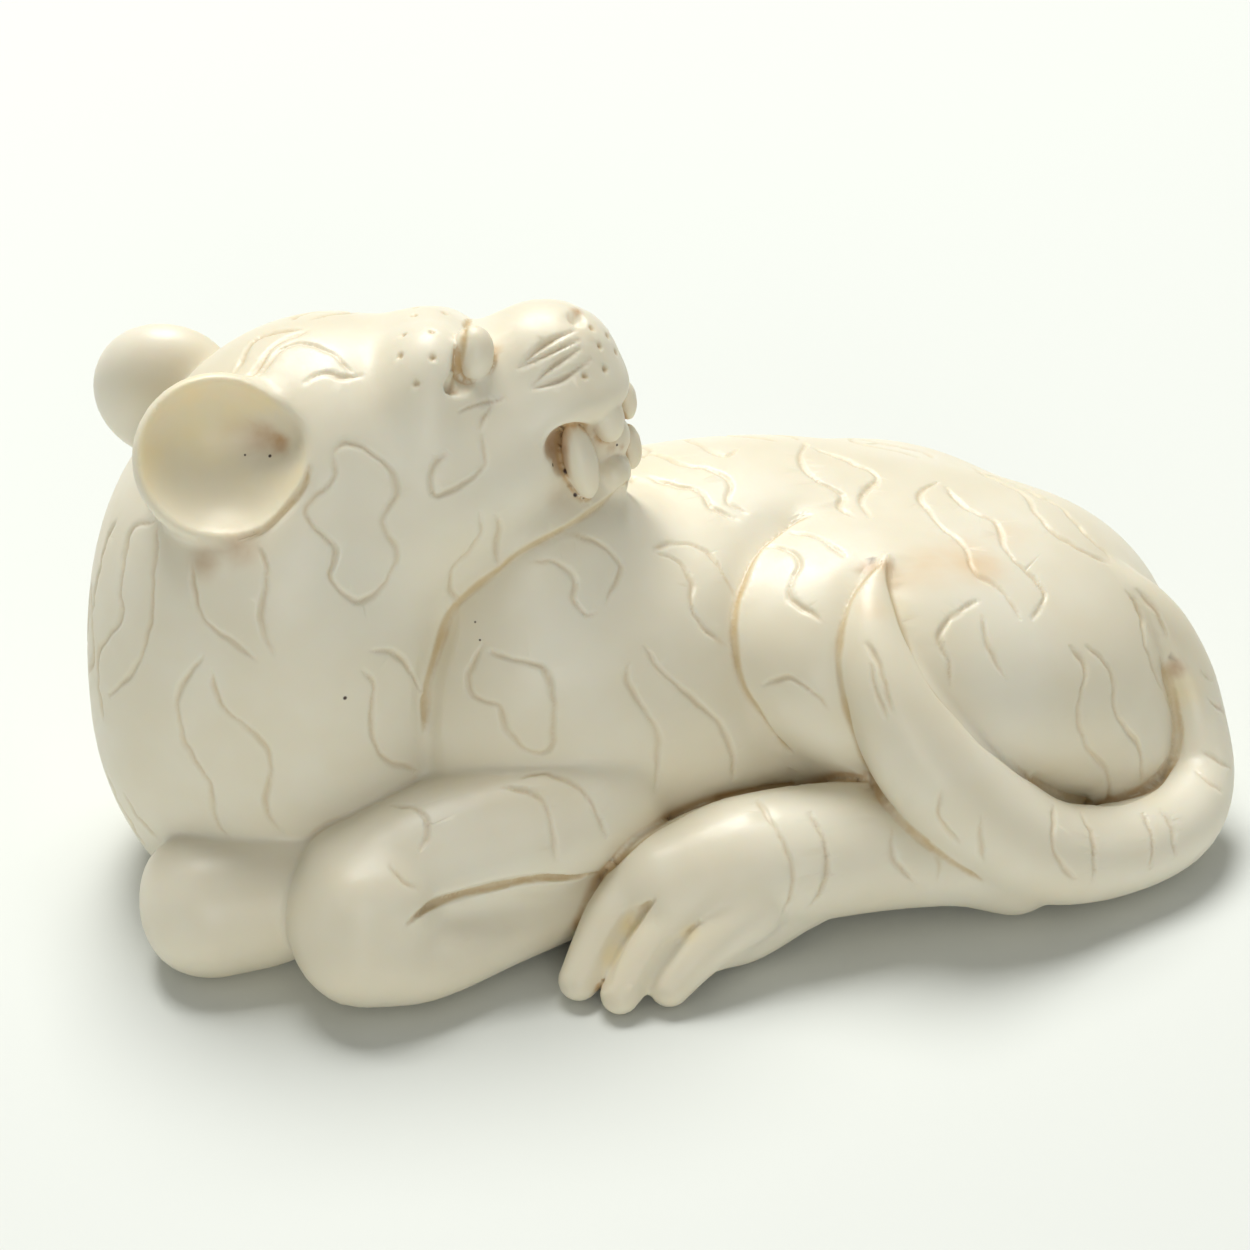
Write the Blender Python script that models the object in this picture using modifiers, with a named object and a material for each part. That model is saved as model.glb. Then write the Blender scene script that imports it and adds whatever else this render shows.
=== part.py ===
# Okimono: a recumbent tiger cut from one block of ivory, its head turned back over its shoulder.
# Run with: blender --background --python part.py

import math

import bmesh
import bpy
import numpy as np
from mathutils import Matrix, Vector

# Driving sizes in metres
LENGTH = 0.0552         # the whole carving, from the chest to the tail
EAR_DEPTH = 0.0026      # an ear's bowl, from its middle to its back
EAR_FLOOR = 0.0010      # ivory left behind an ear's hollow
EAR_WALL = 0.00045      # ivory left at an ear's rim
TAIL_RADIUS = 0.00275   # the tail where it is thickest

# The pose is laid out in shares of the length, from a point near the middle of the underside.
# X runs from the chest to the rump, the legs lie on the -Y side, and Z is up.
SHARE = LENGTH / 55.2
SKIN_GRAIN = 0.4        # finest form that the rough skin keeps, in the same shares
SKIN_FACES = 6600       # triangles left in the skin before the hollows are cut
SKIN_STEPS = 3          # steps that draw the skin over the masses
EAR_FACETS = (28, 14)   # facets of an ear's hollow, around and from pole to pole
HOLLOW_FACETS = (18, 10)
TOOTH_FACETS = (14, 9)
ROUTE_STEPS = 4         # steps between two stations of a limb

# The head lies back over the near shoulder and tips towards the legs
HEAD_AT = (-11.0, 0.5, 23.2)
HEAD_YAW = -17.0
HEAD_PITCH = 7.0
HEAD_ROLL = 14.0

# Masses of the body: place, half sizes, turn in degrees, and how softly each joins the last
TRUNK = {
    "withers": dict(at=(-2.0, 1.0, 7.5), half=(13.0, 10.0, 9.8), blend=0.0),
    "ribs": dict(at=(8.0, 1.0, 7.5), half=(12.0, 9.2, 9.9), blend=5.0),
    "rump": dict(at=(16.4, -3.4, 6.6), half=(11.3, 10.2, 9.1), blend=4.0),
    "near_shoulder": dict(at=(-3.2, -5.0, 9.2), half=(10.5, 5.6, 8.4), turn=(0, 15, 0), blend=3.5),
    "far_shoulder": dict(at=(-4.0, 5.8, 8.4), half=(8.0, 5.2, 7.4), turn=(0, 12, 8), blend=1.0),
    "far_haunch": dict(at=(15.0, 2.6, 8.4), half=(9.6, 7.6, 6.6), turn=(0, 16, -14), blend=0.9),
    "shoulder_top": dict(at=(-6.2, -1.8, 13.4), half=(7.0, 4.9, 9.1), turn=(17, 9, 6), blend=2.0),
}
NECK = {
    "chest": dict(at=(-17.0, 0.5, 9.0), half=(9.8, 9.2, 13.0), turn=(0, -4, 0), blend=0.0),
    "nape": dict(at=(-17.3, 1.0, 17.0), half=(7.8, 8.0, 9.0), blend=4.0),
}
HAUNCH = {
    "thigh": dict(at=(14.1, -5.9, 9.4), half=(12.9, 8.3, 6.8), turn=(1, 18, -2), blend=0.0),
    "seat": dict(at=(21.3, -7.6, 4.2), half=(5.8, 5.4, 5.2), blend=1.5),
}
# Masses of the head, in its own directions: forward, away from the legs, up
HEAD = {
    "skull": dict(at=(-3.5, 0.0, 0.2), half=(6.8, 6.4, 5.7), blend=0.0),
    "brow": dict(at=(1.7, 0.0, -0.6), half=(3.9, 5.4, 6.3), blend=1.6),
    "near_brow": dict(at=(1.8, -2.9, 2.5), half=(2.2, 2.3, 3.2), turn=(0, 14, 0), blend=1.2),
    "far_brow": dict(at=(1.8, 2.9, 1.5), half=(2.2, 2.3, 3.2), turn=(0, 14, 0), blend=1.2),
    "near_cheek": dict(at=(0.8, -1.5, -2.6), half=(5.2, 4.4, 4.2), blend=2.0),
    "far_cheek": dict(at=(0.8, 1.5, -3.4), half=(5.2, 4.4, 4.2), blend=2.0),
    "nose_bridge": dict(at=(5.2, 0.3, 1.3), half=(3.0, 3.0, 2.6), blend=1.8),
    "muzzle": dict(at=(7.1, 0.0, 2.4), half=(3.6, 3.2, 3.1), blend=1.2),
    "lips": dict(at=(7.8, 0.0, 1.1), half=(3.25, 3.5, 1.9), blend=1.0),
    "mouth_corners": dict(at=(5.2, 0.0, -1.4), half=(3.4, 4.1, 3.3), blend=2.4),
}
# Routes of the limbs: x, y, z and radius at each station
JAW = [(1.5, 0.0, -5.0, 3.4), (5.5, 0.0, -4.1, 2.6), (9.2, 0.0, -3.2, 1.45)]
FORELEGS = {
    "near_forearm": dict(blend=0.5, route=[
        (-4.0, -8.8, 6.8, 3.4), (-7.5, -9.9, 6.4, 3.5), (-11.5, -10.1, 6.0, 3.5),
        (-15.3, -10.7, 5.2, 3.45), (-16.8, -11.2, 4.4, 3.3)]),
    "near_paw": dict(blend=0.3, route=[
        (-16.9, -12.4, 3.4, 3.2), (-14.2, -13.2, 2.5, 2.35), (-10.0, -12.2, 2.4, 2.0),
        (-5.8, -11.3, 2.3, 1.55), (-2.5, -10.3, 2.4, 1.3)]),
    "far_wrist": dict(blend=0.4, route=[
        (-17.0, -6.0, 3.8, 3.5), (-20.0, -7.5, 3.4, 3.5), (-23.0, -7.4, 3.1, 3.5)]),
    "far_elbow": dict(blend=0.8, route=[
        (-12.0, 7.0, 3.4, 2.9), (-6.0, 9.4, 3.6, 3.1), (-1.0, 9.0, 4.4, 2.6)]),
}
HIND_LEGS = {
    "near_foot": dict(blend=0.4, route=[
        (15.2, -15.0, 2.7, 2.6), (12.5, -14.3, 3.6, 2.8), (8.1, -13.4, 4.1, 3.25),
        (1.9, -13.3, 4.3, 3.3), (-1.9, -13.4, 3.9, 2.8)]),
    "near_pad": dict(blend=0.5, route=[
        (4.5, -14.6, 2.2, 1.2), (1.7, -15.3, 1.4, 1.15), (-0.5, -16.2, 1.9, 1.1)]),
    "toe_1": dict(blend=0.2, route=[
        (-2.2, -12.7, 4.0, 2.0), (-4.8, -13.9, 3.1, 1.4), (-7.1, -15.7, 1.1, 1.0)]),
    "toe_2": dict(blend=0.2, route=[
        (-0.9, -14.5, 4.0, 1.8), (-3.5, -16.0, 2.6, 1.25), (-5.5, -17.2, 1.0, 0.95)]),
    "toe_3": dict(blend=0.2, route=[
        (1.4, -15.4, 3.4, 1.8), (-1.2, -16.6, 2.4, 1.3), (-3.1, -17.4, 1.1, 1.0)]),
    "far_foot": dict(blend=0.4, route=[
        (20.0, 4.6, 2.6, 2.5), (14.0, 8.0, 2.8, 2.7), (8.0, 9.8, 2.7, 2.6), (4.2, 10.2, 2.2, 2.1)]),
}
# Squared ends of the folded wrists. The higher the square, the flatter the faces.
WRISTS = {
    "near_wrist": dict(at=(-16.3, -11.5, 4.1), half=(3.0, 3.6, 4.0), square=3, blend=0.5),
    "far_wrist_end": dict(at=(-22.2, -7.2, 3.2), half=(4.0, 3.0, 3.1), square=3, blend=0.5),
}
# Shallow valleys that set one form off from the next: a route with the half width at each
# station, and the depth where the valley is widest
VALLEYS = {
    "thigh_edge": dict(depth=0.3, route=[
        (8.7, -2.9, 16.8, 0.2), (5.2, -4.9, 16.4, 0.9), (3.1, -7.8, 15.0, 0.9),
        (2.8, -8.9, 13.8, 0.9), (3.7, -10.2, 10.8, 0.9), (5.2, -10.5, 8.4, 0.3)]),
    "shoulder_edge": dict(depth=0.25, route=[
        (-10.3, -6.2, 17.2, 0.2), (-11.1, -6.5, 15.6, 0.9), (-12.1, -7.3, 13.4, 0.9),
        (-12.2, -8.0, 9.5, 0.9)]),
    "paw_fold": dict(depth=0.3, route=[
        (-15.3, -14.5, 5.4, 0.15), (-13.3, -13.8, 6.0, 0.35), (-8.7, -13.5, 6.0, 0.35),
        (-6.0, -12.8, 5.0, 0.35)]),
    "toe_gap_1": dict(depth=0.5, route=[
        (-3.3, -15.6, 5.0, 0.15), (-4.2, -15.2, 3.8, 0.6), (-5.4, -15.8, 2.7, 0.6),
        (-6.3, -16.9, 1.8, 0.6)]),
    "toe_gap_2": dict(depth=0.5, route=[
        (-1.5, -16.8, 3.9, 0.15), (-2.8, -17.1, 3.2, 0.6), (-3.8, -17.6, 2.4, 0.6),
        (-4.4, -17.9, 1.6, 0.6)]),
}
# The tail leaves the rump, runs round it along the ground and climbs over the thigh.
# The last figure is its thickness as a share of TAIL_RADIUS.
TAIL_BLEND = 0.3
TAIL = [
    (20.5, -4.5, 12.5, 0.36), (23.0, -6.3, 12.0, 0.47), (25.1, -7.7, 10.4, 0.51),
    (26.4, -9.0, 8.0, 0.51), (26.8, -10.2, 5.5, 0.55), (26.5, -11.8, 3.5, 0.62),
    (24.9, -13.7, 2.7, 0.73), (22.6, -14.9, 2.5, 0.80), (19.1, -15.6, 2.8, 0.87),
    (16.0, -15.8, 4.0, 0.95), (13.1, -15.0, 6.4, 1.00), (10.9, -13.8, 9.2, 0.98),
    (9.5, -12.4, 12.1, 0.80), (9.1, -10.8, 14.2, 0.58), (9.6, -9.1, 15.6, 0.36),
    (10.8, -7.7, 16.7, 0.10)]

# Ears: middle of the bowl, the way it opens, and its radius, in the head's directions
EARS = {
    "near_ear": dict(at=(-7.9, -5.8, 1.2), opens=(0.15, -0.93, 0.33), radius=4.05, blend=0.5),
    "far_ear": dict(at=(-11.6, 5.0, 1.6), opens=(0.15, 0.93, 0.33), radius=3.75, blend=0.5),
}

# Hollows cut into the head, then the eyeballs, tongue and teeth that stand in them
HOLLOWS = {
    "near_socket": dict(at=(4.4, -4.7, 4.35), half=(0.97, 2.1, 1.9), turn=(0, 20, 12)),
    "far_socket": dict(at=(4.4, 4.7, 2.95), half=(0.97, 2.1, 1.9), turn=(0, 20, -12)),
    "near_gape": dict(at=(10.0, -3.5, -1.35), half=(2.8, 2.4, 1.65), turn=(0, -10, 0)),
    "far_gape": dict(at=(9.9, 3.5, -1.45), half=(2.9, 2.4, 1.75), turn=(0, -10, 0)),
    "near_corner": dict(at=(8.3, -3.8, -0.7), half=(1.35, 2.1, 1.15)),
    "far_corner": dict(at=(8.3, 3.8, -0.7), half=(1.35, 2.1, 1.15)),
    "front_gape": dict(at=(11.3, 0.0, -1.1), half=(1.9, 2.8, 1.5), turn=(0, -10, 0)),
    "near_nostril": dict(at=(9.2, -1.0, 5.3), half=(0.6, 0.55, 0.4), turn=(0, 30, 0)),
    "far_nostril": dict(at=(9.2, 1.0, 5.0), half=(0.6, 0.55, 0.4), turn=(0, 30, 0)),
}
STANDING = {
    "near_eyeball": dict(at=(4.35, -3.0, 4.0), half=(0.85, 1.05, 1.28), turn=(0, 10, 0)),
    "far_eyeball": dict(at=(4.35, 2.9, 2.5), half=(0.85, 1.05, 1.28), turn=(0, 10, 0)),
    "tongue": dict(at=(9.0, 0.4, -1.6), half=(1.8, 1.7, 1.5)),
    "near_lower_tooth": dict(at=(8.5, -2.45, -1.75), half=(0.9, 0.85, 1.9), turn=(0, -6, 0)),
    "far_lower_tooth": dict(at=(10.6, 1.6, -2.6), half=(0.6, 0.6, 1.15)),
    "near_upper_tooth": dict(at=(9.95, -1.35, -0.2), half=(0.8, 0.75, 1.15)),
    "far_upper_tooth": dict(at=(10.75, 1.45, -0.2), half=(0.5, 0.5, 1.0)),
}
IVORY = (0.86, 0.79, 0.66, 1.0)


# Rotation from turns about X, then Y, then Z, in degrees
def turned(turn):
    about_x, about_y, about_z = (math.radians(angle) for angle in turn)
    cos_x, sin_x = math.cos(about_x), math.sin(about_x)
    cos_y, sin_y = math.cos(about_y), math.sin(about_y)
    cos_z, sin_z = math.cos(about_z), math.sin(about_z)
    spin_x = np.array([[1, 0, 0], [0, cos_x, -sin_x], [0, sin_x, cos_x]])
    spin_y = np.array([[cos_y, 0, sin_y], [0, 1, 0], [-sin_y, 0, cos_y]])
    spin_z = np.array([[cos_z, -sin_z, 0], [sin_z, cos_z, 0], [0, 0, 1]])
    return spin_z @ spin_y @ spin_x


# The head's forward, side and up directions as columns
def head_directions():
    yaw, pitch, roll = (math.radians(angle) for angle in (HEAD_YAW, HEAD_PITCH, HEAD_ROLL))
    level = np.array([math.cos(yaw), math.sin(yaw), 0.0])
    forward = level * math.cos(pitch) + np.array([0.0, 0.0, math.sin(pitch)])
    across = np.array([-math.sin(yaw), math.cos(yaw), 0.0])
    side = across * math.cos(roll) - np.cross(forward, across) * math.sin(roll)
    return np.array([forward, side, np.cross(forward, side)]).T


HEAD_TURN = head_directions()


def on_head(at):
    return np.array(HEAD_AT) + HEAD_TURN @ np.array(at)


# Middle, half sizes and rotation of a mass in the carving's own shares
def shape_of(mass, of_head=False):
    spin = turned(mass.get("turn", (0, 0, 0)))
    if of_head:
        return on_head(mass["at"]), np.array(mass["half"]), HEAD_TURN @ spin
    return np.array(mass["at"]), np.array(mass["half"]), spin


# An ear is a flat bowl, with its own Z the way it opens, and a hollow of the same depth in it
def ear_shapes(ear):
    opens = HEAD_TURN @ np.array(ear["opens"])
    opens /= np.linalg.norm(opens)
    across = np.cross(opens, (0.0, 0.0, 1.0))
    across /= np.linalg.norm(across)
    spin = np.array([across, np.cross(opens, across), opens]).T
    depth = EAR_DEPTH / SHARE
    radius = ear["radius"]
    inner = radius - EAR_WALL / SHARE
    middle = on_head(ear["at"])
    bowl = (middle, np.array((radius, radius, depth)), spin)
    hollow = (middle + opens * EAR_FLOOR / SHARE, np.array((inner, inner, depth)), spin)
    return bowl, hollow


# Smooth route through the stations of a limb
def smooth_route(stations):
    rows = np.array(stations, float)
    rows = np.vstack([2 * rows[0] - rows[1], rows, 2 * rows[-1] - rows[-2]])
    route = []
    for a, b, c, d in zip(rows[:-3], rows[1:-2], rows[2:-1], rows[3:]):
        for t in np.arange(ROUTE_STEPS) / ROUTE_STEPS:
            bend = (2 * a - 5 * b + 4 * c - d) * t ** 2 + (3 * b - a - 3 * c + d) * t ** 3
            route.append((2 * b + (c - a) * t + bend) / 2)
    route.append(rows[-2])
    return np.array(route)


def tail_stations():
    return [(x, y, z, share * TAIL_RADIUS / SHARE) for x, y, z, share in TAIL]


def jaw_stations():
    return [(*on_head((f, s, u)), radius) for f, s, u, radius in JAW]


# How far points lie outside an egg-shaped mass, or one with flatter faces where square is over 2
def egg_gap(points, shape, square=2):
    middle, half, spin = shape
    local = np.abs((points - middle) @ spin / half)
    near = (local ** square).sum(1) ** (1 / square)
    steep = np.sqrt(((local ** (square - 1) / half) ** 2).sum(1)) + 1e-9
    return near ** (square - 1) * (near - 1) / steep


# How far points lie outside a limb
def limb_gap(points, stations):
    route = smooth_route(stations)
    gap = np.full(len(points), np.inf)
    for start, end in zip(route[:-1], route[1:]):
        along = end[:3] - start[:3]
        from_start = points - start[:3]
        t = np.clip(from_start @ along / (along @ along), 0, 1)
        away = np.linalg.norm(from_start - t[:, None] * along, axis=1)
        gap = np.minimum(gap, away - start[3] - (end[3] - start[3]) * t)
    return gap


# Two gaps joined with a fillet as wide as the blend
def joined(a, b, blend):
    if blend <= 0:
        return np.minimum(a, b)
    near = np.maximum(blend - np.abs(a - b), 0) / blend
    return np.minimum(a, b) - near ** 2 * blend / 4


def group_gap(points, masses, of_head=False):
    gap = np.full(len(points), 1e6)
    for mass in masses.values():
        gap = joined(gap, egg_gap(points, shape_of(mass, of_head)), mass["blend"])
    return gap


def with_limbs(gap, points, limbs):
    for limb in limbs.values():
        gap = joined(gap, limb_gap(points, limb["route"]), limb["blend"])
    return gap


# Valleys take this much away at each point, most on their routes
def valley_depth(points):
    depth = np.zeros(len(points))
    for valley in VALLEYS.values():
        widest = max(stop[3] for stop in valley["route"])
        share = np.clip(-limb_gap(points, valley["route"]) / widest, 0, 1)
        depth = np.maximum(depth, valley["depth"] * share ** 2 * (3 - 2 * share))
    return depth


# How far points lie outside the whole figure before its hollows are cut
def figure_gap(points):
    head = group_gap(points, HEAD, of_head=True)
    head = joined(head, limb_gap(points, jaw_stations()), 1.0)
    front = joined(group_gap(points, NECK), head, 3.0)
    gap = joined(group_gap(points, TRUNK), front, 0.7)
    gap = with_limbs(gap, points, FORELEGS)
    for wrist in WRISTS.values():
        gap = joined(gap, egg_gap(points, shape_of(wrist), wrist["square"]), wrist["blend"])
    gap = joined(gap, group_gap(points, HAUNCH), 0.7)
    gap = with_limbs(gap, points, HIND_LEGS)
    gap = joined(gap, limb_gap(points, tail_stations()), TAIL_BLEND)
    for ear in EARS.values():
        gap = joined(gap, egg_gap(points, ear_shapes(ear)[0]), ear["blend"])
    return gap + valley_depth(points)


# Gap and outward direction at points, from four readings a small step around each
def figure_gap_and_slope(points, step=0.04):
    corners = np.array([(1, -1, -1), (-1, -1, 1), (-1, 1, -1), (1, 1, 1)], float)
    readings = [figure_gap(points + corner * step) for corner in corners]
    slope = sum(corner * reading[:, None] for corner, reading in zip(corners, readings))
    slope /= np.linalg.norm(slope, axis=1, keepdims=True) + 1e-9
    return sum(readings) / len(corners), slope


def clear_scene():
    for thing in list(bpy.data.objects):
        bpy.data.objects.remove(thing, do_unlink=True)


def new_collection(name):
    collection = bpy.data.collections.new(name)
    bpy.context.scene.collection.children.link(collection)
    return collection


def ivory():
    material = bpy.data.materials.new("ivory")
    material.use_nodes = True
    shader = material.node_tree.nodes["Principled BSDF"]
    shader.inputs["Base Color"].default_value = IVORY
    shader.inputs["Roughness"].default_value = 0.32
    shader.inputs["Metallic"].default_value = 0.0
    material.diffuse_color = IVORY
    return material


def egg_matrix(shape):
    middle, half, spin = shape
    place = Matrix.Translation(Vector(middle) * SHARE) @ Matrix(spin.tolist()).to_4x4()
    return place @ Matrix.Diagonal((*(half * SHARE), 1))


def egg_object(name, shape, collection, around=32, rings=16):
    mesh = bpy.data.meshes.new(name)
    shell = bmesh.new()
    bmesh.ops.create_uvsphere(shell, u_segments=around, v_segments=rings, radius=1)
    bmesh.ops.transform(shell, matrix=egg_matrix(shape), verts=shell.verts)
    bmesh.ops.recalc_face_normals(shell, faces=shell.faces)
    shell.to_mesh(mesh)
    shell.free()
    thing = bpy.data.objects.new(name, mesh)
    collection.objects.link(thing)
    return thing


# A limb is a bevelled curve with a ball at each end
def limb_objects(name, stations, collection):
    route = smooth_route(stations)
    line = bpy.data.curves.new(name, 'CURVE')
    line.dimensions = '3D'
    line.bevel_depth = SHARE
    line.bevel_resolution = 4
    line.use_fill_caps = True
    spline = line.splines.new('POLY')
    spline.points.add(len(route) - 1)
    for point, row in zip(spline.points, route):
        point.co = (*(row[:3] * SHARE), 1)
        point.radius = row[3]
    curve = bpy.data.objects.new(name + "_line", line)
    collection.objects.link(curve)
    bpy.context.view_layer.update()
    seen = curve.evaluated_get(bpy.context.evaluated_depsgraph_get())
    mesh = bpy.data.meshes.new_from_object(seen)
    solid = bpy.data.objects.new(name, mesh)
    solid.matrix_world = curve.matrix_world
    collection.objects.link(solid)
    bpy.data.objects.remove(curve, do_unlink=True)
    shell = bmesh.new()
    shell.from_mesh(mesh)
    bmesh.ops.remove_doubles(shell, verts=shell.verts, dist=0.000005)
    bmesh.ops.recalc_face_normals(shell, faces=shell.faces)
    shell.to_mesh(mesh)
    shell.free()
    balls = []
    for end, row in (("start", route[0]), ("end", route[-1])):
        shape = (row[:3], np.full(3, row[3]), np.eye(3))
        balls.append(egg_object(name + "_" + end, shape, collection))
    return [solid] + balls


def rough_masses(collection):
    pieces = []
    body = ((TRUNK, False), (NECK, False), (HAUNCH, False), (WRISTS, False), (HEAD, True))
    for masses, of_head in body:
        for name, mass in masses.items():
            pieces.append(egg_object(name, shape_of(mass, of_head), collection))
    for name, ear in EARS.items():
        pieces.append(egg_object(name, ear_shapes(ear)[0], collection))
    for limbs in (FORELEGS, HIND_LEGS):
        for name, limb in limbs.items():
            pieces += limb_objects(name, limb["route"], collection)
    pieces += limb_objects("tail", tail_stations(), collection)
    pieces += limb_objects("jaw", jaw_stations(), collection)
    return pieces


def join(pieces, name):
    bpy.ops.object.select_all(action='DESELECT')
    for piece in pieces:
        piece.select_set(True)
    bpy.context.view_layer.objects.active = pieces[0]
    bpy.ops.object.join()
    pieces[0].name = name
    pieces[0].data.name = name
    return pieces[0]


# Replace an object's mesh with the one its modifiers give
def settle(thing):
    bpy.context.view_layer.update()
    seen = thing.evaluated_get(bpy.context.evaluated_depsgraph_get())
    mesh = bpy.data.meshes.new_from_object(seen)
    thing.modifiers.clear()
    thing.data = mesh


# Draw the skin smoothly over the masses: each point moves straight out or in to the figure
def draw_skin(thing, rounds):
    count = len(thing.data.vertices)
    flat = np.empty(count * 3)
    thing.data.vertices.foreach_get("co", flat)
    points = flat.reshape(count, 3) / SHARE
    for _ in range(rounds):
        gap, slope = figure_gap_and_slope(points)
        points -= slope * np.clip(gap, -0.6, 0.6)[:, None]
    thing.data.vertices.foreach_set("co", (points * SHARE).ravel())
    thing.data.update()


def even_out(thing, iterations):
    even = thing.modifiers.new("even", 'SMOOTH')
    even.factor = 0.5
    even.iterations = iterations
    settle(thing)


def rough_skin(thing):
    remesh = thing.modifiers.new("one body", 'REMESH')
    remesh.mode = 'VOXEL'
    remesh.voxel_size = SKIN_GRAIN * SHARE
    settle(thing)
    draw_skin(thing, SKIN_STEPS)
    even_out(thing, 4)
    draw_skin(thing, 1)
    even_out(thing, 2)
    fewer = thing.modifiers.new("fewer", 'DECIMATE')
    triangles = sum(len(face.vertices) - 2 for face in thing.data.polygons)
    fewer.ratio = SKIN_FACES / triangles
    fewer.use_collapse_triangulate = True
    settle(thing)


def boolean(thing, other, operation):
    cut = thing.modifiers.new(other.name, 'BOOLEAN')
    cut.operation = operation
    cut.solver = 'EXACT'
    cut.object = other
    settle(thing)


def as_cutter(cutter):
    cutter.hide_render = True
    cutter.display_type = 'WIRE'
    return cutter


# The block below the ground line, which leaves the flat underside
def ground_block(cutters):
    mesh = bpy.data.meshes.new("ground")
    block = bmesh.new()
    bmesh.ops.create_cube(block, size=1)
    size = 2 * LENGTH
    below = Matrix.Translation((0, 0, -size / 2)) @ Matrix.Scale(size, 4)
    bmesh.ops.transform(block, matrix=below, verts=block.verts)
    block.to_mesh(mesh)
    block.free()
    thing = bpy.data.objects.new("ground", mesh)
    cutters.objects.link(thing)
    return as_cutter(thing)


def carve(tiger, parts, cutters):
    for name, ear in EARS.items():
        hollow = egg_object(name + "_hollow", ear_shapes(ear)[1], cutters, *EAR_FACETS)
        boolean(tiger, as_cutter(hollow), 'DIFFERENCE')
    for name, mass in HOLLOWS.items():
        hollow = egg_object(name, shape_of(mass, of_head=True), cutters, *HOLLOW_FACETS)
        boolean(tiger, as_cutter(hollow), 'DIFFERENCE')
    for name, mass in STANDING.items():
        piece = egg_object(name, shape_of(mass, of_head=True), parts, *TOOTH_FACETS)
        boolean(tiger, piece, 'UNION')
        bpy.data.objects.remove(piece, do_unlink=True)
    boolean(tiger, ground_block(cutters), 'DIFFERENCE')


# Move the finished mesh so that the middle of its underside is the origin
def stand_on_origin(thing):
    corners = np.array([vertex.co for vertex in thing.data.vertices])
    low, high = corners.min(0), corners.max(0)
    middle = (low + high) / 2
    thing.data.transform(Matrix.Translation((-middle[0], -middle[1], -low[2])))


def tidy(thing):
    shell = bmesh.new()
    shell.from_mesh(thing.data)
    bmesh.ops.remove_doubles(shell, verts=shell.verts, dist=0.00001)
    bmesh.ops.dissolve_degenerate(shell, edges=shell.edges, dist=0.00001)
    bmesh.ops.triangulate(shell, faces=shell.faces)
    shell.to_mesh(thing.data)
    shell.free()
    thing.data.shade_smooth()
    thing.data.set_sharp_from_angle(angle=math.radians(50))


def build():
    clear_scene()
    parts = new_collection("okimono_tiger")
    cutters = new_collection("cutters")
    tiger = join(rough_masses(parts), "tiger")
    rough_skin(tiger)
    carve(tiger, parts, cutters)
    tidy(tiger)
    stand_on_origin(tiger)
    tiger.data.materials.clear()
    tiger.data.materials.append(ivory())


build()
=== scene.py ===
# Ivory okimono: the finished surface of a recumbent tiger that looks back over its shoulder.
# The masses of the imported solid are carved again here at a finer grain, then the coat is engraved.

import math
import time

import bpy
import numpy as np
from mathutils import Matrix, Vector
from mathutils.kdtree import KDTree


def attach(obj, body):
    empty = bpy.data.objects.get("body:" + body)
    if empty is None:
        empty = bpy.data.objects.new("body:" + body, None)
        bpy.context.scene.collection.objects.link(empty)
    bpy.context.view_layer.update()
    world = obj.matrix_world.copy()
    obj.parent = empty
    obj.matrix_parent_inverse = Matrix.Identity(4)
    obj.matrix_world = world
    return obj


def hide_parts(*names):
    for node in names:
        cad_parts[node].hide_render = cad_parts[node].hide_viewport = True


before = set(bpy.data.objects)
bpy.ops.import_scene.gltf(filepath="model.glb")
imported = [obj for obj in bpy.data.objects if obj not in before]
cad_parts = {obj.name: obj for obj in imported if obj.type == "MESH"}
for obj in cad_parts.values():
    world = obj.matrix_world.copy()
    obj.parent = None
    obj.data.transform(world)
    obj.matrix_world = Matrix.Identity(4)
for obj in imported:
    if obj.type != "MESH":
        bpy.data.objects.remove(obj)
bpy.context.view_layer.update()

startTime = time.time()


def say(stage):
    print("%5.1f s  %s" % (time.time() - startTime, stage))


say("solid loaded")

# Masses of the carving in millimetres: middle, half sizes, turn in degrees, softness of the join
bodyForm = dict(
    trunk=[
        dict(at=(-2.0, 1.0, 7.5), half=(13.0, 10.0, 9.8), blend=0),                       # withers
        dict(at=(8.0, 1.0, 7.5), half=(12.0, 9.2, 9.9), blend=5),                         # ribs
        dict(at=(16.4, -3.4, 6.6), half=(11.3, 10.2, 9.1), blend=4),                      # rump
        dict(at=(-3.2, -5.0, 9.2), half=(10.5, 5.6, 8.4), turn=(0, 15, 0), blend=3.5),    # near shoulder
        dict(at=(-4.0, 5.8, 8.4), half=(8.0, 5.2, 7.4), turn=(0, 12, 8), blend=1),        # far shoulder
        dict(at=(15.0, 2.6, 8.4), half=(9.6, 7.6, 6.6), turn=(0, 16, -14), blend=0.9),    # far haunch
        dict(at=(-6.2, -1.8, 13.4), half=(7.0, 4.9, 9.1), turn=(17, 9, 6), blend=2),      # under the jaw
    ],
    neck=[
        dict(at=(-17.0, 0.5, 9.0), half=(9.8, 9.2, 13.0), turn=(0, -4, 0), blend=0),      # chest
        dict(at=(-17.3, 1.0, 17.0), half=(7.8, 8.0, 9.0), blend=4),                       # nape
    ],
    haunch=[
        dict(at=(14.1, -5.9, 9.4), half=(12.9, 8.3, 6.8), turn=(1, 18, -2), blend=0),     # thigh
        dict(at=(21.3, -7.6, 4.2), half=(5.8, 5.4, 5.2), blend=1.5),                      # seat
    ],
    neckBlend=3.0,
    bodyBlend=0.7,
)

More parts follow.
